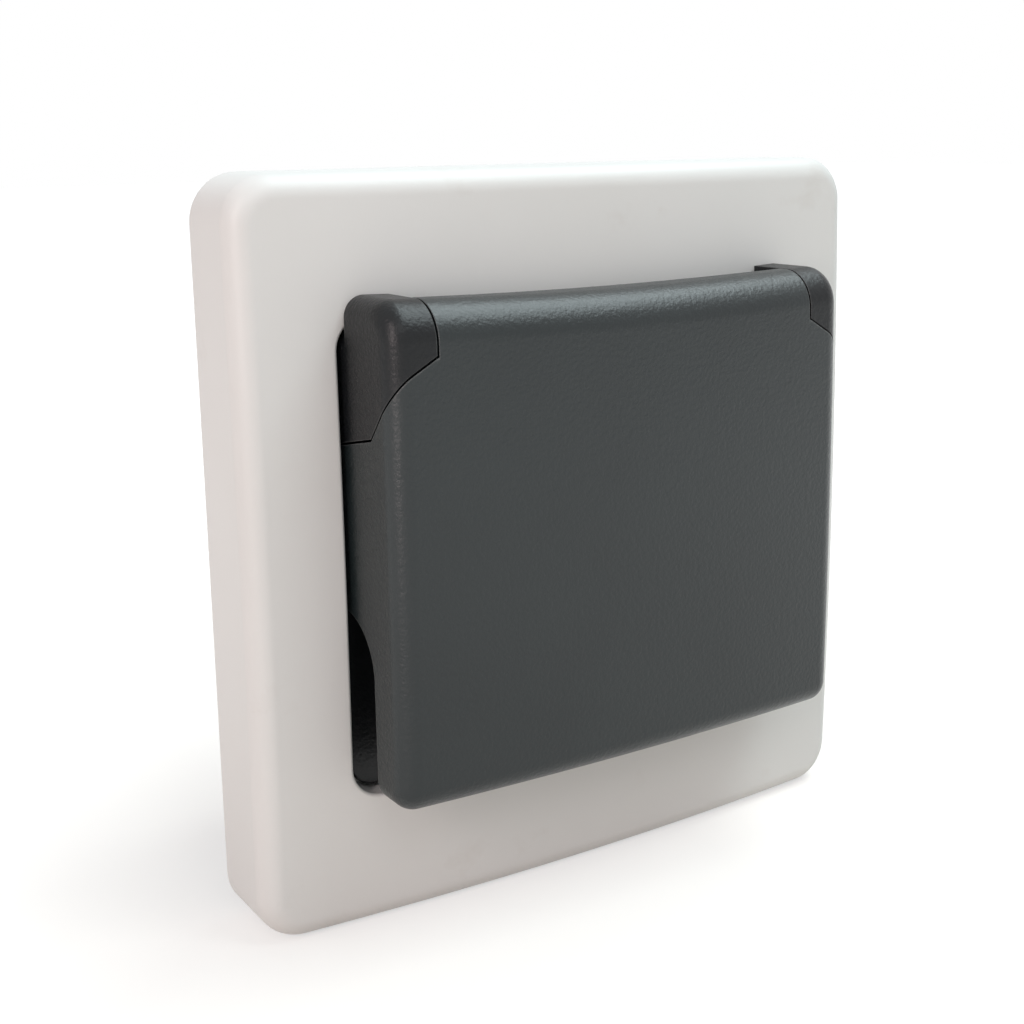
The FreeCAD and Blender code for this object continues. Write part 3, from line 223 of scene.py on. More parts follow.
def combine(shape, other, how):
    """One blank with another cut away, joined on, or kept within it."""
    pair = []
    for part in (shape, other):
        mesh = bpy.data.meshes.new("blank")
        bmesh.ops.remove_doubles(part, verts=part.verts, dist=0.0002)
        bmesh.ops.recalc_face_normals(part, faces=part.faces)
        part.to_mesh(mesh)
        part.free()
        pair.append(bpy.data.objects.new("blank", mesh))
        bpy.context.collection.objects.link(pair[-1])
    tool = pair[0].modifiers.new("tool", "BOOLEAN")
    tool.operation = how
    tool.solver = "EXACT"
    tool.object = pair[1]
    made = pair[0].evaluated_get(bpy.context.evaluated_depsgraph_get())
    result = bmesh.new()
    result.from_mesh(made.to_mesh())
    made.to_mesh_clear()
    for part in pair:
        mesh = part.data
        bpy.data.objects.remove(part)
        bpy.data.meshes.remove(mesh)
    return result


def cut(shape, *tools):
    """A blank with others cut away from it, one after another."""
    for tool in tools:
        shape = combine(shape, tool, "DIFFERENCE")
    return shape


def slot_blank(x, z, half_width, front, rear):
    """A blank for a slot with round ends that points at the socket's middle."""
    half_straight = 1.1
    half_length = half_width + half_straight
    reach = (half_length, half_width) if x else (half_width, half_length)
    shape = block((x - reach[0], -front, z - reach[1]), (x + reach[0], -rear, z + reach[1]))
    through = [edge for edge in shape.edges if abs(edge.verts[0].co.y - edge.verts[1].co.y) > 0.5]
    round_off(shape, through, half_width * 0.999, 12, "EDGES")
    return shape


MM = 0.001
CREASE = 32.0


def seat(shape, name, finish, body, nodes):
    """Turns a finished bmesh, in millimetres, into a piece that stands for those solids."""
    bmesh.ops.remove_doubles(shape, verts=shape.verts, dist=0.0005)
    bmesh.ops.recalc_face_normals(shape, faces=shape.faces)
    bmesh.ops.scale(shape, vec=(MM, MM, MM), verts=shape.verts)
    mesh = bpy.data.meshes.new(name)
    shape.to_mesh(mesh)
    shape.free()
    mesh.shade_smooth()
    mesh.set_sharp_from_angle(angle=math.radians(CREASE))
    mesh.materials.append(finish)
    piece = bpy.data.objects.new(name, mesh)
    bpy.context.collection.objects.link(piece)
    even = piece.modifiers.new("even shading", "WEIGHTED_NORMAL")
    even.keep_sharp = True
    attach(piece, body)
    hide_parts(*nodes)


box_screws = ((30.0, 0), (-30.0, 0), (0, 30.0), (0, -30.0))
seal_thick, seal_hole, seal_edge, seal_slot = 1.0, 25.8, 0.15, 2.3
seal = (39.4, 39.4, 3.1)
seal_inner = [size - seal_edge for size in seal]
shape, first = outline(*seal)
for point in shape.verts:
    point.co = at(seal, *seal_inner, 0)(point[first])
loop = shape.edges[:]
for place in (at(seal, *seal, seal_edge), at(seal, *seal, seal_thick - seal_edge),
              at(seal, *seal_inner, seal_thick), on_circle(seal_hole + seal_edge, seal_thick),
              on_circle(seal_hole, seal_thick - seal_edge), on_circle(seal_hole, seal_edge),
              on_circle(seal_hole + seal_edge, 0), at(seal, *seal_inner, 0)):
    loop = grow(shape, loop, first, place)
for x, z in box_screws:
    shape = cut(shape, slot_blank(x, z, seal_slot, 2 * seal_thick, -seal_thick))
seat(shape, "seal_sheet", rubber, "housing", ["wall_seal"])


# Support ring: a punched steel sheet, zinc plated, that carries the base and is screwed to the wall
# box through its slots. Its corners are cut so that it fits between the frame's ribs.

def metal(name, dull, bright, smooth, rough, stretch):
    """Rolled or drawn metal, with fine lines along one way and a cloudy skin."""
    finish, shader, place = new_finish(name)
    tree = finish.node_tree
    shader.inputs["Metallic"].default_value = 1.0
    cloud = noise(finish, place, 0.006, detail=5.0, rough=0.6)
    lines = noise(finish, place, 0.0006, detail=3.0, rough=0.6, stretch=stretch)
    tree.links.new(tint(finish, cloud, dull, bright), shader.inputs["Base Color"])
    tree.links.new(spread(finish, lines, smooth, rough), shader.inputs["Roughness"])
    relief(finish, shader, (0.00001, lines), edge=0.00012)
    return finish


zinc = metal("zinc plated steel", (0.50, 0.52, 0.54), (0.68, 0.69, 0.69), 0.24, 0.42,
             (1.0, 1.0, 10.0))


def flat(points, rounds=(), parts=6):
    """A flat outline through these points, with the numbers and radii of its rounded corners."""
    shape = bmesh.new()
    corners = [shape.verts.new(point) for point in points]
    shape.faces.new(corners)
    for number, radius in rounds:
        round_off(shape, [corners[number]], radius, parts)
    return shape


def pull(shape, way):
    """Pulls a flat outline out into a solid."""
    made = bmesh.ops.extrude_face_region(shape, geom=shape.faces[:])["geom"]
    bmesh.ops.translate(shape, vec=way,
                        verts=[item for item in made if isinstance(item, bmesh.types.BMVert)])
    return shape


def rod(radius, length, centre, axis, parts=96):
    """A round blank about an axis through its centre."""
    shape = bmesh.new()
    turn = Vector((0, 0, 1)).rotation_difference(Vector(axis)).to_matrix().to_4x4()
    bmesh.ops.create_cone(shape, cap_ends=True, segments=parts, radius1=radius, radius2=radius,
                          depth=length, matrix=Matrix.Translation(centre) @ turn)
    return shape


TO_REAR = (0, 1, 0)
ring_half, ring_side, ring_corner, ring_thick = 35.5, 22.5, 0.6, 1.2
ring_hole, ring_slot = 22.3, 1.9
corners = ((-ring_side, -ring_half), (ring_side, -ring_half), (ring_half, -ring_side),
           (ring_half, ring_side), (ring_side, ring_half), (-ring_side, ring_half),
           (-ring_half, ring_side), (-ring_half, -ring_side))
shape = flat([(x, -seal_thick, z) for x, z in corners],
             [(number, ring_corner) for number in range(len(corners))])
shape = cut(pull(shape, (0, -ring_thick, 0)), rod(ring_hole, 6, (0, 0, 0), TO_REAR, 160))
for x, z in box_screws:
    shape = cut(shape, slot_blank(x, z, ring_slot, 3.0, 0.5))
seat(shape, "ring_sheet", zinc, "housing", ["support_ring"])


# Rivets: four zinc-plated steel rivets with round heads. They are set from the front, through the
# support ring, and hold the base to it.

def spun(points, rounds, centre, axis, parts=48):
    """A round form: points of radius and distance along the axis, turned about that axis."""
    shape = flat([(radius, 0, along) for radius, along in points], rounds)
    bmesh.ops.delete(shape, geom=shape.faces[:], context="FACES_ONLY")
    inner = [edge for edge in shape.edges if all(abs(point.co.x) < 1e-6 for point in edge.verts)]
    bmesh.ops.delete(shape, geom=inner, context="EDGES")
    bmesh.ops.spin(shape, geom=shape.verts[:] + shape.edges[:], cent=(0, 0, 0), axis=(0, 0, 1),
                   angle=2 * math.pi, steps=parts, use_merge=True)
    bmesh.ops.remove_doubles(shape, verts=shape.verts, dist=0.0005)
    bmesh.ops.recalc_face_normals(shape, faces=shape.faces)
    lean = Vector((0, 0, 1)).rotation_difference(Vector(axis)).to_matrix().to_4x4()
    bmesh.ops.transform(shape, matrix=Matrix.Translation(centre) @ lean, space=Matrix.Identity(4),
                        verts=shape.verts)
    return shape


TO_FRONT = (0, -1, 0)
ring_front = seal_thick + ring_thick
rivet_place, rivet_head, rivet_height, rivet_shank, rivet_length = 16.9, 1.5, 0.8, 0.8, 6.0
rivet_path = [(0, rivet_height), (rivet_head, rivet_height), (rivet_head, 0), (rivet_shank, 0),
              (rivet_shank, -rivet_length), (0, -rivet_length)]
rivets = bmesh.new()
for x, z in ((1, 1), (-1, 1), (-1, -1), (1, -1)):
    rivet = spun(rivet_path, ((1, 0.7),), (x * rivet_place, -ring_front, z * rivet_place),
                 TO_FRONT, 32)
    mesh = bpy.data.meshes.new("rivet")
    rivet.to_mesh(mesh)
    rivet.free()
    rivets.from_mesh(mesh)
    bpy.data.meshes.remove(mesh)
seat(rivets, "rivets", zinc, "housing", ["ring_rivets"])


# Socket base: a round moulding of grey thermoset that sits in the wall box. It has a recess for the
# well, rooms for shutter, bracket and contacts, ways for the screwdriver in its side, and pockets
# that save material.

def grey_insulation():
    """Grey thermoset with a fine matt skin, slightly cloudy."""
    finish, shader, place = new_finish("insulating plastic")
    tree = finish.node_tree
    deep, pale = (0.46, 0.46, 0.44), (0.55, 0.55, 0.52)
    cloud = noise(finish, place, 0.010, detail=4.0, rough=0.55)
    grain = noise(finish, place, 0.0004, detail=3.0, rough=0.6)
    tree.links.new(tint(finish, cloud, deep, pale), shader.inputs["Base Color"])
    tree.links.new(spread(finish, grain, 0.42, 0.55), shader.inputs["Roughness"])
    relief(finish, shader, (0.00001, grain), edge=0.0002)
    return finish


insulation = grey_insulation()


def bar(low, high, radius):
    """A blank with small rounded edges."""
    shape = block(low, high)
    round_off(shape, shape.edges[:], radius, 4, "EDGES")
    return shape


def turned(shape, degrees):
    """The same form, turned about the socket's axis."""
    bmesh.ops.rotate(shape, cent=(0, 0, 0), matrix=Matrix.Rotation(math.radians(degrees), 3, "Y"),
                     verts=shape.verts)
    return shape


base_radius, base_front, base_rear = 25.5, -1.0, 26.0
room_front, room_rear, strip_rear, past_rear = 4.0, 6.7, 7.7, 27.0
pin_place, pin_hole, clamp_place, driver_way = 9.5, 2.75, 20.0, 2.9
shape = spun([(0, base_front), (base_radius, base_front), (base_radius, base_rear), (0, base_rear)],
             ((1, 0.3), (2, 0.4)), (0, 0, 0), TO_REAR, 160)
well_room = [rod(22.2, 6.5, (0, 1.25, 0), TO_REAR, 128)]
shutter_room = [block((-13.75, room_front, -9.95), (13.75, room_rear, 3.75)),
                block((-4.95, room_front, -11.2), (4.95, room_rear, 11.2)),
                block((-1.15, room_front, -13.65), (1.15, room_rear, -4.0))]
bracket_room = [block((-2.7, room_front, -21.3), (2.7, strip_rear, 21.3))]
holes = [rod(pin_hole, 3.0, (-pin_place, strip_rear, 0), TO_REAR),
         rod(pin_hole, 3.0, (pin_place, strip_rear, 0), TO_REAR),
         rod(1.8, 10.0, (0, 12.2, 0), TO_REAR)]
contact_rooms = [block((-23.6, strip_rear, -4.4), (-6.0, past_rear, 4.4)),
                 block((6.0, strip_rear, -4.4), (23.6, past_rear, 4.4)),
                 block((-3.7, strip_rear, -20.5), (3.7, past_rear, -12.9))]
driver_ways = [rod(driver_way, 14.9, (-24.05, clamp_place, 0), (1, 0, 0), 64),
               rod(driver_way, 14.9, (24.05, clamp_place, 0), (1, 0, 0), 64),
               rod(driver_way, 14.9, (0, clamp_place, -20.65), (0, 0, 1), 64)]
side_pockets = [turned(bar((23.7, 7.0, -5.5), (27.0, 23.5, 5.5), 0.4), degrees)
                for degrees in (45, 135, 225, 315)]
shape = cut(shape, *well_room, *shutter_room, *bracket_room, *holes, *contact_rooms, *driver_ways,
            *side_pockets)
seat(shape, "base_moulding", insulation, "housing", ["socket_base"])


# Earth bracket: a strip of zinc-plated steel bent at both ends. Its arms come through the windows
# of the well and grip the plug, and its middle lies in the base behind the shutter.

strip_half_width, strip_reach = 2.5, 21.1
arm = [(-0.5, strip_reach), (-3.6, 19.2), (-7.6, 20.8), (-7.6, 20.0), (-3.6, 18.4), (-0.9, 20.3),
       (6.9, 20.3)]
path = ([(strip_rear, strip_reach)] + arm + [(y, -z) for y, z in reversed(arm)]
        + [(strip_rear, -strip_reach)])
bends = (1.0, 0.7, 0.7, 0.3, 0.3, 0.7, 0.7, 0.25)
rounds = list(enumerate(bends + bends[::-1]))
shape = pull(flat([(-strip_half_width, y, z) for y, z in path], rounds),
             (2 * strip_half_width, 0, 0))
shape = cut(shape, rod(1.52, 4.0, (0, 7.3, 0), TO_REAR, 48))
seat(shape, "earth_strip", zinc, "housing", ["earth_bracket"])


# Contacts and earth terminal: brass clips for the plug's pins, each with a block that clamps a
# wire, and a like block behind the bracket. The shutter's spring is a strip of steel bent to a
# zigzag. These keep the shape of their solids and get their finish here.

brass = metal("brass", (0.62, 0.42, 0.15), (0.78, 0.58, 0.26), 0.22, 0.40, (1.0, 8.0, 1.0))
for name, finish in (("line_contact", brass), ("neutral_contact", brass), ("earth_terminal", brass),
                     ("shutter_spring", zinc)):
    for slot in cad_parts[name].material_slots:
        slot.material = finish


# Screws: three clamp screws with slotted cheese heads, one in each terminal, and the countersunk
# screw that draws centre plate and frame against the wall. They are turned from steel and zinc
# plated, and their threads are cut.

thread_pitch, thread_depth = 0.5, 0.2


def thread(start, end, radius):
    """The outline of a screw thread between two distances along its axis."""
    pitch = math.copysign(thread_pitch, end - start)
    root = radius - thread_depth
    points = []
    for turn in range(int(abs(end - start) / thread_pitch)):
        points += [(root, start + pitch * turn), (radius, start + pitch * (turn + 0.5))]
    return points + [(root, end)]


head_radius, head_height, shank_radius, shank_length, slot_half = 2.6, 1.6, 1.6, 2.4, 0.4
head_place, earth_head, slot_reach = 23.3, 20.2, 3.2
path = ([(0, head_height), (head_radius, head_height), (head_radius, 0)]
        + thread(0, -shank_length, shank_radius) + [(0, -shank_length)])
slot_low, slot_high = clamp_place - slot_half, clamp_place + slot_half
for name, centre, axis, low, high in (
        ("line_screw", (-head_place, clamp_place, 0), (-1, 0, 0),
         (-26.0, slot_low, -slot_reach), (-24.2, slot_high, slot_reach)),
        ("neutral_screw", (head_place, clamp_place, 0), (1, 0, 0),
         (24.2, slot_low, -slot_reach), (26.0, slot_high, slot_reach)),
        ("earth_screw", (0, clamp_place, -earth_head), (0, 0, -1),
         (-slot_reach, slot_low, -23.0), (slot_reach, slot_high, -21.1))):
    shape = cut(spun(path, ((1, 0.35),), centre, axis), block(low, high))
    seat(shape, name + "_turned", zinc, "housing", [name])
sunk_radius, sunk_edge, sunk_height, sunk_place = 2.9, 0.15, 1.5, 2.5
centre_shank, centre_length = 1.5, 10.0
path = ([(0, 0), (sunk_radius, 0), (sunk_radius, sunk_edge), (centre_shank, sunk_height)]
        + thread(1.6, centre_length, centre_shank) + [(0, centre_length)])
shape = cut(spun(path, ((1, 0.08),), (0, sunk_place, 0), TO_REAR),
            block((-3.4, 1.5, -slot_half), (3.4, 3.2, slot_half)))
seat(shape, "centre_screw_turned", zinc, "housing", ["centre_screw"])


# Shutter: a small slider of grey plastic behind the well's floor. Its wings cover the pin holes
# until both pins press on their ramps at once, and its slot runs on the screw boss.

wing, wing_half, hub, hub_low, hub_top = 13.4, 3.4, 4.6, -4.65, 10.85
slider_front, slider_thick, slider_middle, boss_slot, travel = 4.7, 1.8, 5.6, 3.05, 6.2
path = [(-wing, -wing_half), (-hub, -wing_half), (-hub, hub_low), (hub, hub_low), (hub, -wing_half),
        (wing, -wing_half), (wing, wing_half), (hub, wing_half), (hub, hub_top), (-hub, hub_top),
        (-hub, wing_half), (-wing, wing_half)]
rounds = [(number, 0.5) for number in (0, 2, 3, 5, 6, 8, 9, 11)]
shape = pull(flat([(x, slider_front, z) for x, z in path], rounds), (0, slider_thick, 0))
shape = cut(shape, rod(boss_slot, 4.0, (0, slider_middle, 0), TO_REAR, 64),
            rod(boss_slot, 4.0, (0, slider_middle, travel), TO_REAR, 64),
            block((-boss_slot, slider_middle - 2.0, 0), (boss_slot, slider_middle + 2.0, travel)))
ramp_front, ramp_rear, ramp_low, ramp_top, ramp_length = 4.5, 6.1, 2.0, 3.6, 9.4
for start in (-14.0, hub):
    ramp = flat([(start, ramp_front, ramp_low), (start, ramp_rear, ramp_top),
                 (start, ramp_front, ramp_top)])
    shape = cut(shape, pull(ramp, (ramp_length, 0, 0)))
seat(shape, "slider", insulation, "shutter", ["shutter"])


# Rear cover: the disc of grey plastic that closes the contact rooms, snapped on from behind. It has
# a funnel for each wire, a raised rim and ribs, and four notches for lifting it off.

cover_radius, cover_rear, sunk_to, past_cover, rim_inside = 25.2, 28.0, 27.4, 29.0, 22.6
notch_floor, notch_half, notch_rear, rib_half, hub_radius = 24.03, 2.15, 27.03, 0.7, 6.5
shape = spun([(0, base_rear), (cover_radius, base_rear), (cover_radius, cover_rear),
              (0, cover_rear)], ((2, 0.5),), (0, 0, 0), TO_REAR, 160)
for degrees in (43, 137, 223, 317):
    notch = block((notch_floor, 25.4, -notch_half), (27.0, notch_rear, notch_half))
    shape = cut(shape, turned(notch, degrees))
sunk = spun([(0, sunk_to), (rim_inside, sunk_to), (rim_inside, past_cover), (0, past_cover)],
            ((1, 0.25),), (0, 0, 0), TO_REAR, 128)
wires = ((-19.9, 0), (19.9, 0), (0, -16.8))
raised = [rod(3.7, 4.0, (x, cover_rear, z), TO_REAR, 64) for x, z in wires]
raised += [rod(hub_radius, 4.0, (0, cover_rear, 0), TO_REAR, 96)]
raised += [block((-24.0, base_rear, -rib_half), (24.0, 30.0, rib_half)),
           block((-rib_half, base_rear, -24.0), (rib_half, 30.0, 24.0))]
shape = cut(shape, cut(sunk, *raised))
wire_hole, wire_mouth, funnel_end, before_cover = 1.9, 3.0, 26.9, 25.0
for x, z in wires:
    funnel = spun([(0, before_cover), (wire_hole, before_cover), (wire_hole, funnel_end),
                   (wire_mouth, cover_rear), (wire_mouth, past_cover), (0, past_cover)],
                  ((2, 0.5),), (x, 0, z), TO_REAR, 64)
    shape = cut(shape, funnel)
dish_floor, dish_radius, dish_mouth = 27.5, 4.9, 5.2
dish = spun([(0, dish_floor), (dish_radius, dish_floor), (dish_mouth, past_cover), (0, past_cover)],
            ((1, 0.3),), (0, 0, 0), TO_REAR, 96)
seat(cut(shape, dish), "cover_disc", insulation, "housing", ["rear_cover"])


# Cover frame: one white moulding, open at the back, that closes the hole in the wall. Its face
# swells a little towards the middle and rolls over into the side walls. The centre plate presses on
# a ledge round the opening and holds it.

def blend_colour(finish, factor, pattern, plain):
    """A plain colour laid over a pattern of colours, as thickly as another pattern says."""
    node = finish.node_tree.nodes.new("ShaderNodeMix")
    node.data_type = "RGBA"
    under, over = [item for item in node.inputs if item.type == "RGBA"]
    finish.node_tree.links.new(factor, node.inputs["Factor"])
    finish.node_tree.links.new(pattern, under)
    over.default_value = (*plain, 1)
    return [item for item in node.outputs if item.type == "RGBA"][0]


def satin_white():
    """White plastic with a satin skin, a faint swell and a few smudges."""
    finish, shader, place = new_finish("white plastic")
    tree = finish.node_tree
    deep, pale, soiled = (0.800, 0.795, 0.775), (0.828, 0.825, 0.808), (0.66, 0.62, 0.58)
    cloud = noise(finish, place, 0.030, detail=3.0)
    grain = noise(finish, place, 0.00030, detail=3.0, rough=0.65)
    swell = noise(finish, place, 0.012, detail=1.0, rough=0.4)
    patches = noise(finish, place, 0.011, detail=5.0, rough=0.62)
    smudge = spread(finish, patches, 0.0, 0.35, 0.62, 0.78)
    clean = tint(finish, cloud, deep, pale)
    tree.links.new(blend_colour(finish, smudge, clean, soiled), shader.inputs["Base Color"])
    tree.links.new(spread(finish, grain, 0.36, 0.46), shader.inputs["Roughness"])
    relief(finish, shader, (0.00002, swell), (0.000006, grain), edge=0.00015)
    return finish


white = satin_white()
frame_half, frame_corner, frame_edge, frame_front, rear_edge = 42.0, 5.3, 2.7, 13.1, 0.3
frame_outline = (frame_half, frame_half, frame_corner)
side_fall, top_fall = 2.0, 0.75
opening, opening_rise, lip = (31.05, 26.7, 3.5), 0.3, 0.4


def face_depth(point):
    """How far the frame's face stands in front of the wall."""
    return (frame_front - side_fall * (point.x / frame_half) ** 2
            - top_fall * (point.z / frame_half) ** 2)


def drawn_in(first, inset):
    """A point of the frame's outline when the outline is drawn in."""
    return on_outline(first, frame_outline, *[size - inset for size in frame_outline])


def about_opening(first, aside):
    """The same point on an outline that far outside the frame's opening."""
    return on_outline(first, frame_outline, *[size + aside for size in opening], opening_rise)


def frame_wall(inset, depth):
    """The frame's side wall, drawn in, at a depth in front of the wall."""
    def place(first):
        point = drawn_in(first, inset)
        point.y = -depth
        return point
    return place


def frame_roll(angle):
    """The rounded edge between side wall and face, at an angle of its turn."""
    def place(first):
        point = drawn_in(first, frame_edge * (1 - math.cos(angle)))
        point.y = frame_edge * (1 - math.sin(angle)) - face_depth(drawn_in(first, frame_edge))
        return point
    return place


def frame_face(share):
    """The face, at a share of the way from the rounded edge to the opening."""
    def place(first):
        point = drawn_in(first, frame_edge).lerp(about_opening(first, lip), share)
        point.y = -face_depth(point)
        return point
    return place


def frame_lip(angle):
    """The rounded lip of the opening, at an angle of its turn."""
    def place(first):
        point = about_opening(first, lip * (1 - math.sin(angle)))
        point.y = lip * (1 - math.cos(angle)) - face_depth(about_opening(first, lip))
        return point
    return place


shape, first = outline(*frame_outline)
for point in shape.verts:
    point.co = frame_wall(rear_edge, 0)(point[first])
loop = shape.edges[:]
places = [frame_wall(rear_edge * (1 - math.sin(turn)), rear_edge * (1 - math.cos(turn)))
          for turn in (math.radians(step) for step in (22.5, 45, 67.5, 90))]
places += [frame_wall(0, 2.0), frame_wall(0, 5.0)]
places += [frame_roll(math.radians(step)) for step in range(0, 91, 6)]
places += [frame_face(share)
           for share in (0.03, 0.08, 0.16, 0.26, 0.36, 0.46, 0.56, 0.66, 0.76, 0.86, 0.94, 1.0)]
places += [frame_lip(math.radians(step)) for step in (15, 30, 45, 60, 75, 90)]
ledge, ledge_rear, ledge_front, ledge_edge = (28.55, 24.2, 2.25), 6.0, 7.6, 0.1
collar, hollow, hollow_front = (33.05, 28.7, 5.5), (39.8, 39.8, 3.1), 9.0
inside = ((*opening, ledge_front), (*[size + ledge_edge for size in ledge], ledge_front),
          (*ledge, ledge_front - ledge_edge), (*ledge, ledge_rear), (*collar, ledge_rear),
          (*collar, hollow_front))
places += [at(frame_outline, *sizes, opening_rise) for sizes in inside]
places += [at(frame_outline, *hollow, hollow_front), at(frame_outline, *hollow, 0),
           frame_wall(rear_edge, 0)]
for place in places:
    loop = grow(shape, loop, first, place)
seat(shape, "white_frame", white, "housing", ["cover_frame"])


# Plate seal: a flat ring of black rubber, 0.8 mm thick, that lies on the frame's ledge. The centre
# plate presses it down, so that no rain runs in beside the opening.

plate, flange_rear = (30.55, 26.2, 3.0), 8.4
outer = [size - seal_edge for size in plate]
inner = [size + seal_edge for size in ledge]
shape, first = outline(*plate)
for point in shape.verts:
    point.co = at(plate, *outer, ledge_front, opening_rise)(point[first])
loop = shape.edges[:]
for sizes in ((*plate, ledge_front + seal_edge), (*plate, flange_rear - seal_edge),
              (*outer, flange_rear), (*inner, flange_rear), (*ledge, flange_rear - seal_edge),
              (*ledge, ledge_front + seal_edge), (*inner, ledge_front), (*outer, ledge_front)):
    loop = grow(shape, loop, first, at(plate, *sizes, opening_rise))
seat(shape, "plate_seal_ring", rubber, "housing", ["plate_seal"])


# Centre plate: the flange and socket well of a dark moulding with a spark-eroded grain. Its colour
# is partly the moulding's own dark tone and partly painted shade, for the flange in the gap and the
# block fronts. The flange presses the frame to the wall. The well has guide ribs for the plug,
# windows for the earth arms, two pin holes and a countersunk hole for the screw.

def edge_wear(finish, radius, softness):
    """1 along sharp outer edges, where hands and tools rub, and 0 on flats."""
    tree = finish.node_tree
    facing = tree.nodes.new("ShaderNodeNewGeometry").outputs["Normal"]
    compare = tree.nodes.new("ShaderNodeVectorMath")
    compare.operation = "DOT_PRODUCT"
    tree.links.new(facing, compare.inputs[0])
    tree.links.new(soft_edges(finish, radius), compare.inputs[1])
    return spread(finish, compare.outputs["Value"], 1.0, 0.0, 1.0 - softness, 1.0)


def times(finish, first, second):
    """The product of two patterns."""
    node = finish.node_tree.nodes.new("ShaderNodeMath")
    node.operation = "MULTIPLY"
    finish.node_tree.links.new(first, node.inputs[0])
    finish.node_tree.links.new(second, node.inputs[1])
    return node.outputs["Value"]


def eroded_anthracite(name, deep, pale, gloss):
    """Dark plastic with the grain of a spark-eroded mould, a little paler on rubbed edges."""
    finish, shader, place = new_finish(name)
    tree = finish.node_tree
    rubbed = (0.16, 0.165, 0.165)
    cloud = noise(finish, place, 0.016, detail=4.0, rough=0.55)
    pits = noise(finish, place, 0.00048, detail=1.5, rough=0.6)
    coarse = spread(finish, pits, 0.0, 1.0, 0.32, 0.68)
    fine = noise(finish, place, 0.00020, rough=0.6)
    patches = spread(finish, noise(finish, place, 0.0015, detail=3.0), 0.25, 0.9)
    worn = times(finish, edge_wear(finish, 0.00028, 0.35), patches)
    tree.links.new(blend_colour(finish, worn, tint(finish, cloud, deep, pale), rubbed),
                   shader.inputs["Base Color"])
    tree.links.new(spread(finish, fine, 0.30, 0.42), shader.inputs["Roughness"])
    shader.inputs["Specular IOR Level"].default_value = gloss
    relief(finish, shader, (0.000022, coarse), (0.00001, fine), edge=0.00018)
    return finish


# Painted shade: this plastic's base colour is darker than the lid's, partly as the moulding's own tone and
# partly so that the flange in the finger gap and the hinge blocks' fronts look as dark as their shade.
plate_plastic_darkened_as_shade = eroded_anthracite("plate plastic darkened as painted shade", (0.0036, 0.0044, 0.0054),
                                  (0.0062, 0.0070, 0.0082), gloss=0.30)
well_outer, well_inner, well_front, well_rim = 21.9, 19.75, 15.0, 0.4
flange_front, flange_edge, floor_front, floor_rear = 10.0, 0.3, -2.5, -4.5


def on_flange(inset, depth):
    """Puts an outline's points on the flange's edge, drawn in, at a depth in front of the wall."""
    return at(plate, *[size - inset for size in plate], depth, opening_rise)


shape, first = outline(*plate, 10, 28)
for point in shape.verts:
    point.co = on_circle(well_outer, floor_rear + 0.3)(point[first])
loop = shape.edges[:]
places = [on_circle(well_outer, depth) for depth in (-2.0, 3.0, flange_rear)]
places += [on_flange(flange_edge, flange_rear), on_flange(0, flange_rear + flange_edge),
           on_flange(0, flange_front - flange_edge), on_flange(0.09, flange_front - 0.09),
           on_flange(flange_edge, flange_front)]
places += [on_circle(22.5, flange_front), on_circle(22.2, 10.08), on_circle(21.98, 10.3),
           on_circle(well_outer, 10.6), on_circle(well_outer, well_front - well_rim)]
for turn in (22.5, 45, 67.5, 90):
    turn = math.radians(turn)
    places.append(on_circle(well_outer - well_rim * (1 - math.cos(turn)),
                            well_front - well_rim * (1 - math.sin(turn))))
for turn in (0, 22.5, 45, 67.5, 90):
    turn = math.radians(turn)
    places.append(on_circle(well_inner + well_rim * (1 - math.sin(turn)),
                            well_front - well_rim * (1 - math.cos(turn))))
places += [on_circle(well_inner, depth) for depth in (8.0, 2.0, -2.0)]
places += [on_circle(19.6, -2.35), on_circle(19.25, floor_front), on_circle(10.0, floor_front)]
for place in places:
    loop = grow(shape, loop, first, place)
bmesh.ops.edgeloop_fill(shape, edges=loop)
rear = [edge for edge in shape.edges if edge.is_boundary]
loop = grow(shape, rear, first, on_circle(well_outer - 0.3, floor_rear))
bmesh.ops.edgeloop_fill(shape, edges=loop)
rib_place, rib_front, rib_reach, rib_half = 19.6, 13.5, 1.45, 2.4
window_place, window_front, window_reach, window_half = 20.4, 8.2, 2.4, 3
for side in (-1, 1):
    rib = bar((side * rib_place - rib_reach, -rib_front, -rib_half),
              (side * rib_place + rib_reach, 2.8, rib_half), 0.35)
    window = block((-window_half, -window_front, side * window_place - window_reach),
                   (window_half, 6, side * window_place + window_reach))
    shape = cut(combine(shape, rib, "UNION"), window,
                rod(pin_hole, 6, (side * pin_place, 3.5, 0), TO_REAR, 64))
boss, screw_hole, sink_mouth, sink_depth = 2.9, 1.65, 3.15, 1.7
shape = combine(shape, rod(boss, 2.1, (0, 5.5, 0), TO_REAR, 48), "UNION")
sink = bmesh.new()
turn = Matrix.Rotation(-math.pi / 2, 4, "X")
bmesh.ops.create_cone(sink, cap_ends=True, segments=64, radius1=sink_mouth, radius2=screw_hole,
                      depth=sink_depth, matrix=Matrix.Translation((0, 3.2, 0)) @ turn)
shape = cut(shape, sink, rod(screw_hole, 10, (0, 5, 0), TO_REAR, 64))
seat(shape, "plate_and_well", plate_plastic_darkened_as_shade, "housing", ["centre_plate"])


# Bridge and hinge blocks: parts of the same dark moulding, above the well. The bridge joins the
# blocks, which hold the ends of the hinge pin, stand over the frame's edge and carry on the lid's
# outer form.

block_face = 25.25
bridge_front, bridge_rear, bridge_low, bridge_top = 12.8, 9.0, 20.4, 26.5
shape = bar((-block_face, -bridge_front, bridge_low), (block_face, -bridge_rear, bridge_top), 0.3)
seat(shape, "bridge", plate_plastic_darkened_as_shade, "housing", ["centre_plate"])
cap_half, cap_low, cap_top, cap_front = 30.5, -25.0, 29.5, 23.4
cap_dip, cap_fall, cap_bow = 0.75, 1.0, 0.3
side_round, low_round, top_round = 2.4, 2.8, 4.25


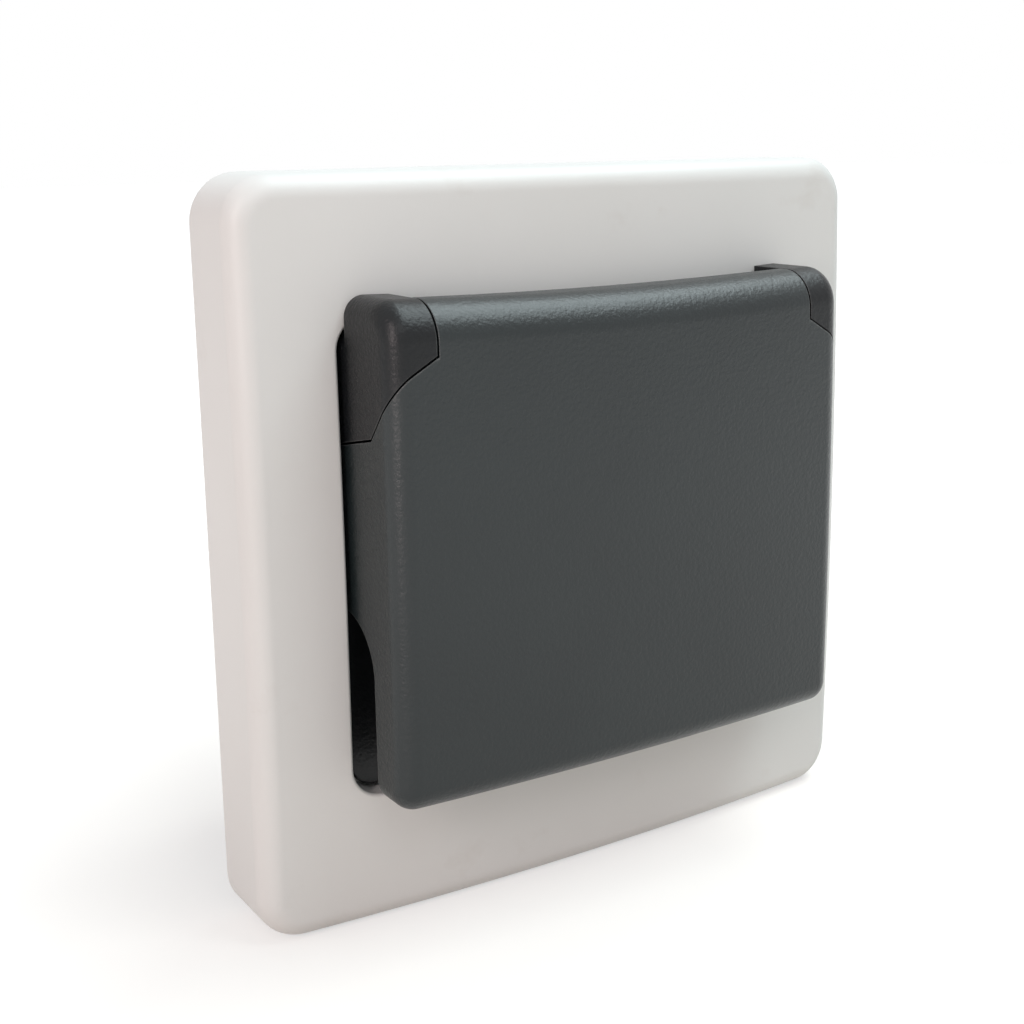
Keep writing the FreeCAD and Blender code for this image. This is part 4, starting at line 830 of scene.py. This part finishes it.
def cap_form(rear):
    """The form that lid and hinge blocks share, a solid from the depth called rear to its front."""
    shape = flat([(0, -rear, cap_low), (0, -cap_front, cap_low), (0, -cap_front, cap_top),
                  (0, -rear, cap_top)], ((1, low_round), (2, top_round)), 16)
    bmesh.ops.delete(shape, geom=shape.faces[:], context="FACES_ONLY")
    roll_low, roll_top = cap_low + low_round, cap_top - top_round
    front = [edge for edge in shape.edges if abs(edge.calc_length() - (roll_top - roll_low)) < 0.01]
    bmesh.ops.subdivide_edges(shape, edges=front, cuts=30)
    straight = [edge for edge in shape.edges if 5 < edge.calc_length() < 20]
    bmesh.ops.subdivide_edges(shape, edges=straight, cuts=5)
    first = shape.verts.layers.float_vector.new("first")
    for point in shape.verts:
        point[first] = point.co

    def section(x, inset):
        """The form's outline at a distance to the side, drawn in."""
        along = x / cap_half

        def place(start):
            radius = low_round if start.z < 0 else top_round
            centre = Vector((0, max(start.y, -cap_front + radius),
                             min(max(start.z, roll_low), roll_top)))
            out = start - centre
            out = Vector() if out.length < 1e-6 else out.normalized()
            if abs(start.y + rear) < 1e-4:
                out.y = 0
            point = start - inset * out
            forward = min(max((-start.y - rear) / (cap_front - top_round - rear), 0), 1)
            bow = cap_bow * (start.z / ((cap_top - cap_low) / 2)) ** 2
            point.y += forward * (cap_fall * along ** 2 + bow)
            raised = min(max((start.z - roll_low) / (roll_top - roll_low), 0), 1)
            point.z -= raised * cap_dip * (1 - along ** 2)
            point.x = x
            return point
        return place

    edge = []
    for step in range(0, 15):
        turn = math.radians(90 * step / 14)
        edge.append((side_round * (1 - math.cos(turn)), side_round * (1 - math.sin(turn))))
    half_flat = cap_half - side_round
    stations = [(-cap_half + aside, inset) for aside, inset in edge]
    stations += [(-half_flat + 2 * half_flat * step / 40, 0) for step in range(1, 40)]
    stations += [(cap_half - aside, inset) for aside, inset in reversed(edge)]
    for point in shape.verts:
        point.co = section(*stations[0])(point[first])
    loop = shape.edges[:]
    bmesh.ops.edgeloop_fill(shape, edges=loop)
    for station in stations[1:]:
        loop = grow(shape, loop, first, section(*station))
    bmesh.ops.edgeloop_fill(shape, edges=loop)
    bmesh.ops.recalc_face_normals(shape, faces=shape.faces)
    return shape


def seam(side, gap):
    """A point on the slanted seam between a hinge block and the lid, and the way to the lid."""
    inner = Vector((side * block_face, -22.7, 24.1))
    outer = Vector((side * 30.2, -21.7, 20.3))
    low = Vector((side * 30.5, -17.8, 15.5))
    direction = (outer - inner).cross(low - inner).normalized()
    if direction.y > 0:
        direction.negate()
    return inner + gap * direction, direction


block_low, underside_fall = 15.2, math.radians(12)


def hinge_zone(side, inner, low, gap):
    """The room of a hinge block: beyond its inner face, above its underside, behind the seam."""
    near, far = sorted((side * inner, side * (inner + 20)))
    shape = block((near, -40, low - 5), (far, 0, 40))
    underside = (Vector((0, -17.8, low)),
                 Vector((0, -math.sin(underside_fall), -math.cos(underside_fall))))
    for point, direction in (seam(side, gap), underside):
        everything = shape.verts[:] + shape.edges[:] + shape.faces[:]
        edges = bmesh.ops.bisect_plane(shape, geom=everything, plane_co=point, plane_no=direction,
                                       clear_outer=True)["geom_cut"]
        edges = [item for item in edges if isinstance(item, bmesh.types.BMEdge)]
        bmesh.ops.edgeloop_fill(shape, edges=edges)
    return shape


hinge_depth, hinge_height = 18.5, 25.2
bore, bore_left, bore_right = 1.03, -28.6, 29.9
overlap_depth, over_front = 12.35, 14.0
for side, label in ((-1, "left"), (1, "right")):
    shape = combine(cap_form(10.0), hinge_zone(side, block_face, block_low, 0), "INTERSECT")
    over, first = outline(*plate)
    loop = over.edges[:]
    bmesh.ops.edgeloop_fill(over, edges=loop)
    loop = grow(over, loop, first,
                lambda start: Vector((start.x, -over_front, start.z + opening_rise)))
    bmesh.ops.edgeloop_fill(over, edges=loop)
    for point in over.verts:
        if point.co.y > -1:
            point.co = Vector((point.co.x, 2, point.co.z + opening_rise))
    around = cut(block((-45, -overlap_depth, -45), (45, 0, 45)), over)
    pin_bore = rod(bore, bore_right - bore_left,
                   ((bore_left + bore_right) / 2, -hinge_depth, hinge_height), (1, 0, 0), 48)
    seat(cut(shape, around, pin_bore), "hinge_block_" + label, plate_plastic_darkened_as_shade,
         "housing", ["centre_plate"])


# Lid: a hollow flap of a like plastic. Its barrel hangs on the pin between the hinge blocks, and
# its skirt is cut away below for the fingers. A ring inside holds the gasket, and four round marks
# show where ejector pins pushed it out of the mould.

lid_plastic = eroded_anthracite("lid plastic", (0.0058, 0.0098, 0.0110), (0.0086, 0.0136, 0.0148),
                                gloss=0.50)
hollow_half, hollow_low, hollow_top, face_rear = 25.0, -22.9, 20.95, 20.9
wide_half, wide_top, past_rear_edge = 28.4, 12.2, 7.0
barrel, barrel_room, barrel_bore, notch_gap = 4.25, 4.30, 1.06, 0.18
shape = cut(cap_form(10.4), block((-hollow_half, -face_rear, hollow_low),
                                  (hollow_half, -past_rear_edge, hollow_top)))
above = cut(block((-hollow_half, -hinge_depth, 20.9), (hollow_half, -past_rear_edge, 33)),
            rod(barrel, 80, (0, -hinge_depth, hinge_height), (1, 0, 0)))
wide = block((-wide_half, -20.89, -22.89), (wide_half, -past_rear_edge, wide_top))
shape = cut(shape, above, wide)
seat_ring, groove = [
    spun([(inside, -rear), (outside, -rear), (outside, -front), (inside, -front)], (), (0, 0, 0),
         TO_REAR, 128)
    for inside, outside, rear, front in ((18.9, 22.4, 16.7, 21.3), (19.85, 21.45, 15.0, 18.0))]
shape = combine(shape, cut(seat_ring, groove), "UNION")
grip_front, grip_top, grip_low, grip_round = 16.4, -4.8, -27, 6.5
grip = flat([(-40, -past_rear_edge, grip_top), (-40, -grip_front, grip_top),
             (-40, -grip_front, grip_low), (-40, -past_rear_edge, grip_low)],
            ((1, grip_round),), 24)
shape = cut(shape, pull(grip, (80, 0, 0)))
for side in (-1, 1):
    shape = cut(shape, hinge_zone(side, block_face - 0.25, block_low - 0.25, notch_gap),
                rod(barrel_room, 20, (side * 35.0, -hinge_depth, hinge_height), (1, 0, 0)))
shape = cut(shape, rod(barrel_bore, 80, (0, -hinge_depth, hinge_height), (1, 0, 0), 48))
mark_radius, mark_place = 1.4, 20.8
for x, z in ((-25.2, -19.5), (25.2, -19.5), (-25.4, 9.6), (25.4, 9.6)):
    shape = cut(shape, rod(mark_radius, 0.5, (x, -mark_place, z), TO_REAR, 40))
seat(shape, "lid_shell", lid_plastic, "flap", ["lid"])


# Lid gasket: a soft ring of black rubber, pressed into the groove of the lid's ring. Its crown has
# a fine groove of its own and closes on the rim of the well.

gasket_in, gasket_out, gasket_rear, gasket_front = 19.9, 21.4, 15.0, 18.0
crown, crown_half, crown_depth = 20.65, 0.2, 0.3
shape = spun([(gasket_in, gasket_rear), (crown - crown_half, gasket_rear),
              (crown, gasket_rear + crown_depth), (crown + crown_half, gasket_rear),
              (gasket_out, gasket_rear), (gasket_out, gasket_front), (gasket_in, gasket_front)],
             ((0, 0.3), (4, 0.3), (5, 0.2), (6, 0.2)), (0, 0, 0), TO_FRONT, 160)
seat(shape, "gasket_ring", rubber, "flap", ["lid_gasket"])


# Hinge pin: a bright pin of drawn steel with rounded ends, 2 mm thick. It is pushed in from the
# right-hand block, through the lid's barrel, and ends blind in the left-hand one.

steel = metal("drawn pin steel", (0.48, 0.48, 0.49), (0.62, 0.62, 0.63), 0.16, 0.30,
              (0.1, 1.0, 1.0))
pin_radius = 1.0
pin_length = bore_right - bore_left
shape = spun([(0, 0), (pin_radius, 0), (pin_radius, pin_length), (0, pin_length)],
             ((1, 0.15), (2, 0.3)), (bore_left, -hinge_depth, hinge_height), (1, 0, 0), 48)
seat(shape, "pin", steel, "housing", ["hinge_pin"])


# Floor, backdrop and lamps: a pale sheet under the object, a white backdrop, and soft lamps above,
# in front and at both sides. The floor grows white away from the object and keeps its shadow.

floor_height, floor_half = -0.0421, 3.0
floor_mesh = bmesh.new()
bmesh.ops.create_grid(floor_mesh, x_segments=1, y_segments=1, size=floor_half,
                      matrix=Matrix.Translation((0, 0, floor_height)))
mesh = bpy.data.meshes.new("floor")
floor_mesh.to_mesh(mesh)
floor_mesh.free()
floor = bpy.data.objects.new("floor", mesh)
bpy.context.collection.objects.link(floor)
finish, shader, place = new_finish("pale floor")
shader.inputs["Base Color"].default_value = (0.62, 0.565, 0.52, 1)
shader.inputs["Roughness"].default_value = 0.95
shader.inputs["Specular IOR Level"].default_value = 0.1
tree = finish.node_tree


def seen_rays(tree):
    """1 for the camera's own rays and for mirrored and passing ones, and 0 for scattered light."""
    rays = tree.nodes.new("ShaderNodeLightPath")
    last = rays.outputs["Is Camera Ray"]
    for kind in ("Is Glossy Ray", "Is Transmission Ray"):
        node = tree.nodes.new("ShaderNodeMath")
        node.operation = "MAXIMUM"
        tree.links.new(last, node.inputs[0])
        tree.links.new(rays.outputs[kind], node.inputs[1])
        last = node.outputs["Value"]
    return last


away = tree.nodes.new("ShaderNodeVectorMath")
away.operation = "LENGTH"
tree.links.new(place, away.inputs[0])
shader.inputs["Emission Color"].default_value = (0.93, 0.965, 0.99, 1)
lift = spread(finish, away.outputs["Value"], 0.55, 1.0, 0.06, 0.22)
tree.links.new(times(finish, seen_rays(tree), lift), shader.inputs["Emission Strength"])
floor.data.materials.append(finish)
floor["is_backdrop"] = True

room_strength, paper_strength = 0.29, 1.0
world = bpy.data.worlds.new("studio")
bpy.context.scene.world = world
world.use_nodes = True
tree = world.node_tree
tree.nodes.clear()
out = tree.nodes.new("ShaderNodeOutputWorld")
room = tree.nodes.new("ShaderNodeBackground")
room.inputs["Color"].default_value = (0.97, 0.98, 1.0, 1)
room.inputs["Strength"].default_value = room_strength
paper = tree.nodes.new("ShaderNodeBackground")
paper.inputs["Color"].default_value = (1, 1, 1, 1)
paper.inputs["Strength"].default_value = paper_strength
mix = tree.nodes.new("ShaderNodeMixShader")
tree.links.new(seen_rays(tree), mix.inputs[0])
tree.links.new(room.outputs[0], mix.inputs[1])
tree.links.new(paper.outputs[0], mix.inputs[2])
tree.links.new(mix.outputs[0], out.inputs["Surface"])


def soft_lamp(name, place, width, height, power, colour):
    """A rectangular lamp that faces the object, with its sides in metres and its power in watts."""
    lamp = bpy.data.lights.new(name, "AREA")
    lamp.shape = "RECTANGLE"
    lamp.size, lamp.size_y = width, height
    lamp.energy = power
    lamp.color = colour
    stand = bpy.data.objects.new(name, lamp)
    bpy.context.collection.objects.link(stand)
    aim = (Vector((0, -0.01, 0)) - Vector(place)).to_track_quat("-Z", "Y")
    stand.matrix_world = Matrix.Translation(place) @ aim.to_matrix().to_4x4()


soft_lamp("ceiling softbox", (0.30, -0.10, 0.66), 0.70, 0.42, 4.4, (0.84, 0.975, 1.0))
soft_lamp("upper softbox", (-0.22, -0.62, 0.58), 0.4, 0.3, 0.65, (0.96, 1.0, 1.0))
soft_lamp("left softbox", (-0.76, -0.40, 0.30), 0.24, 0.72, 3.6, (1.0, 0.86, 0.85))
soft_lamp("right card", (0.52, -0.80, -0.30), 0.7, 0.6, 1.25, (0.90, 1.0, 0.99))


# Camera: near the object, from its left and a little above, leaning slightly. Lens and shift are
# given in dots of the square picture.

picture, focal, shift = 1024.0, 1521.0, -52.0
camera_data = bpy.data.cameras.new("camera")
camera_data.sensor_width = 36.0
camera_data.lens = 36.0 * focal / picture
camera_data.shift_y = shift / picture
camera_data.clip_start = 0.01
camera_data.clip_end = 10.0
camera = bpy.data.objects.new("camera", camera_data)
bpy.context.collection.objects.link(camera)
around, above, lean = math.radians(-32.4), math.radians(12.0), math.radians(-0.91)
back = Vector((math.sin(around) * math.cos(above), -math.cos(around) * math.cos(above),
               math.sin(above)))
level = (-back).cross(Vector((0, 0, 1))).normalized()
upright = level.cross(-back)
right = math.cos(lean) * level + math.sin(lean) * upright
up = -math.sin(lean) * level + math.cos(lean) * upright
stand = 0.1887 * back - 0.0021 * right + 0.0060 * up
camera.matrix_world = Matrix((
    (right.x, up.x, back.x, stand.x),
    (right.y, up.y, back.y, stand.y),
    (right.z, up.z, back.z, stand.z),
    (0, 0, 0, 1)))
bpy.context.scene.camera = camera
bpy.context.scene.view_settings.view_transform = "Standard"

sizes = {"cad": [list(corner) for corner in cad_box], "seen": [list(corner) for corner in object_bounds()]}
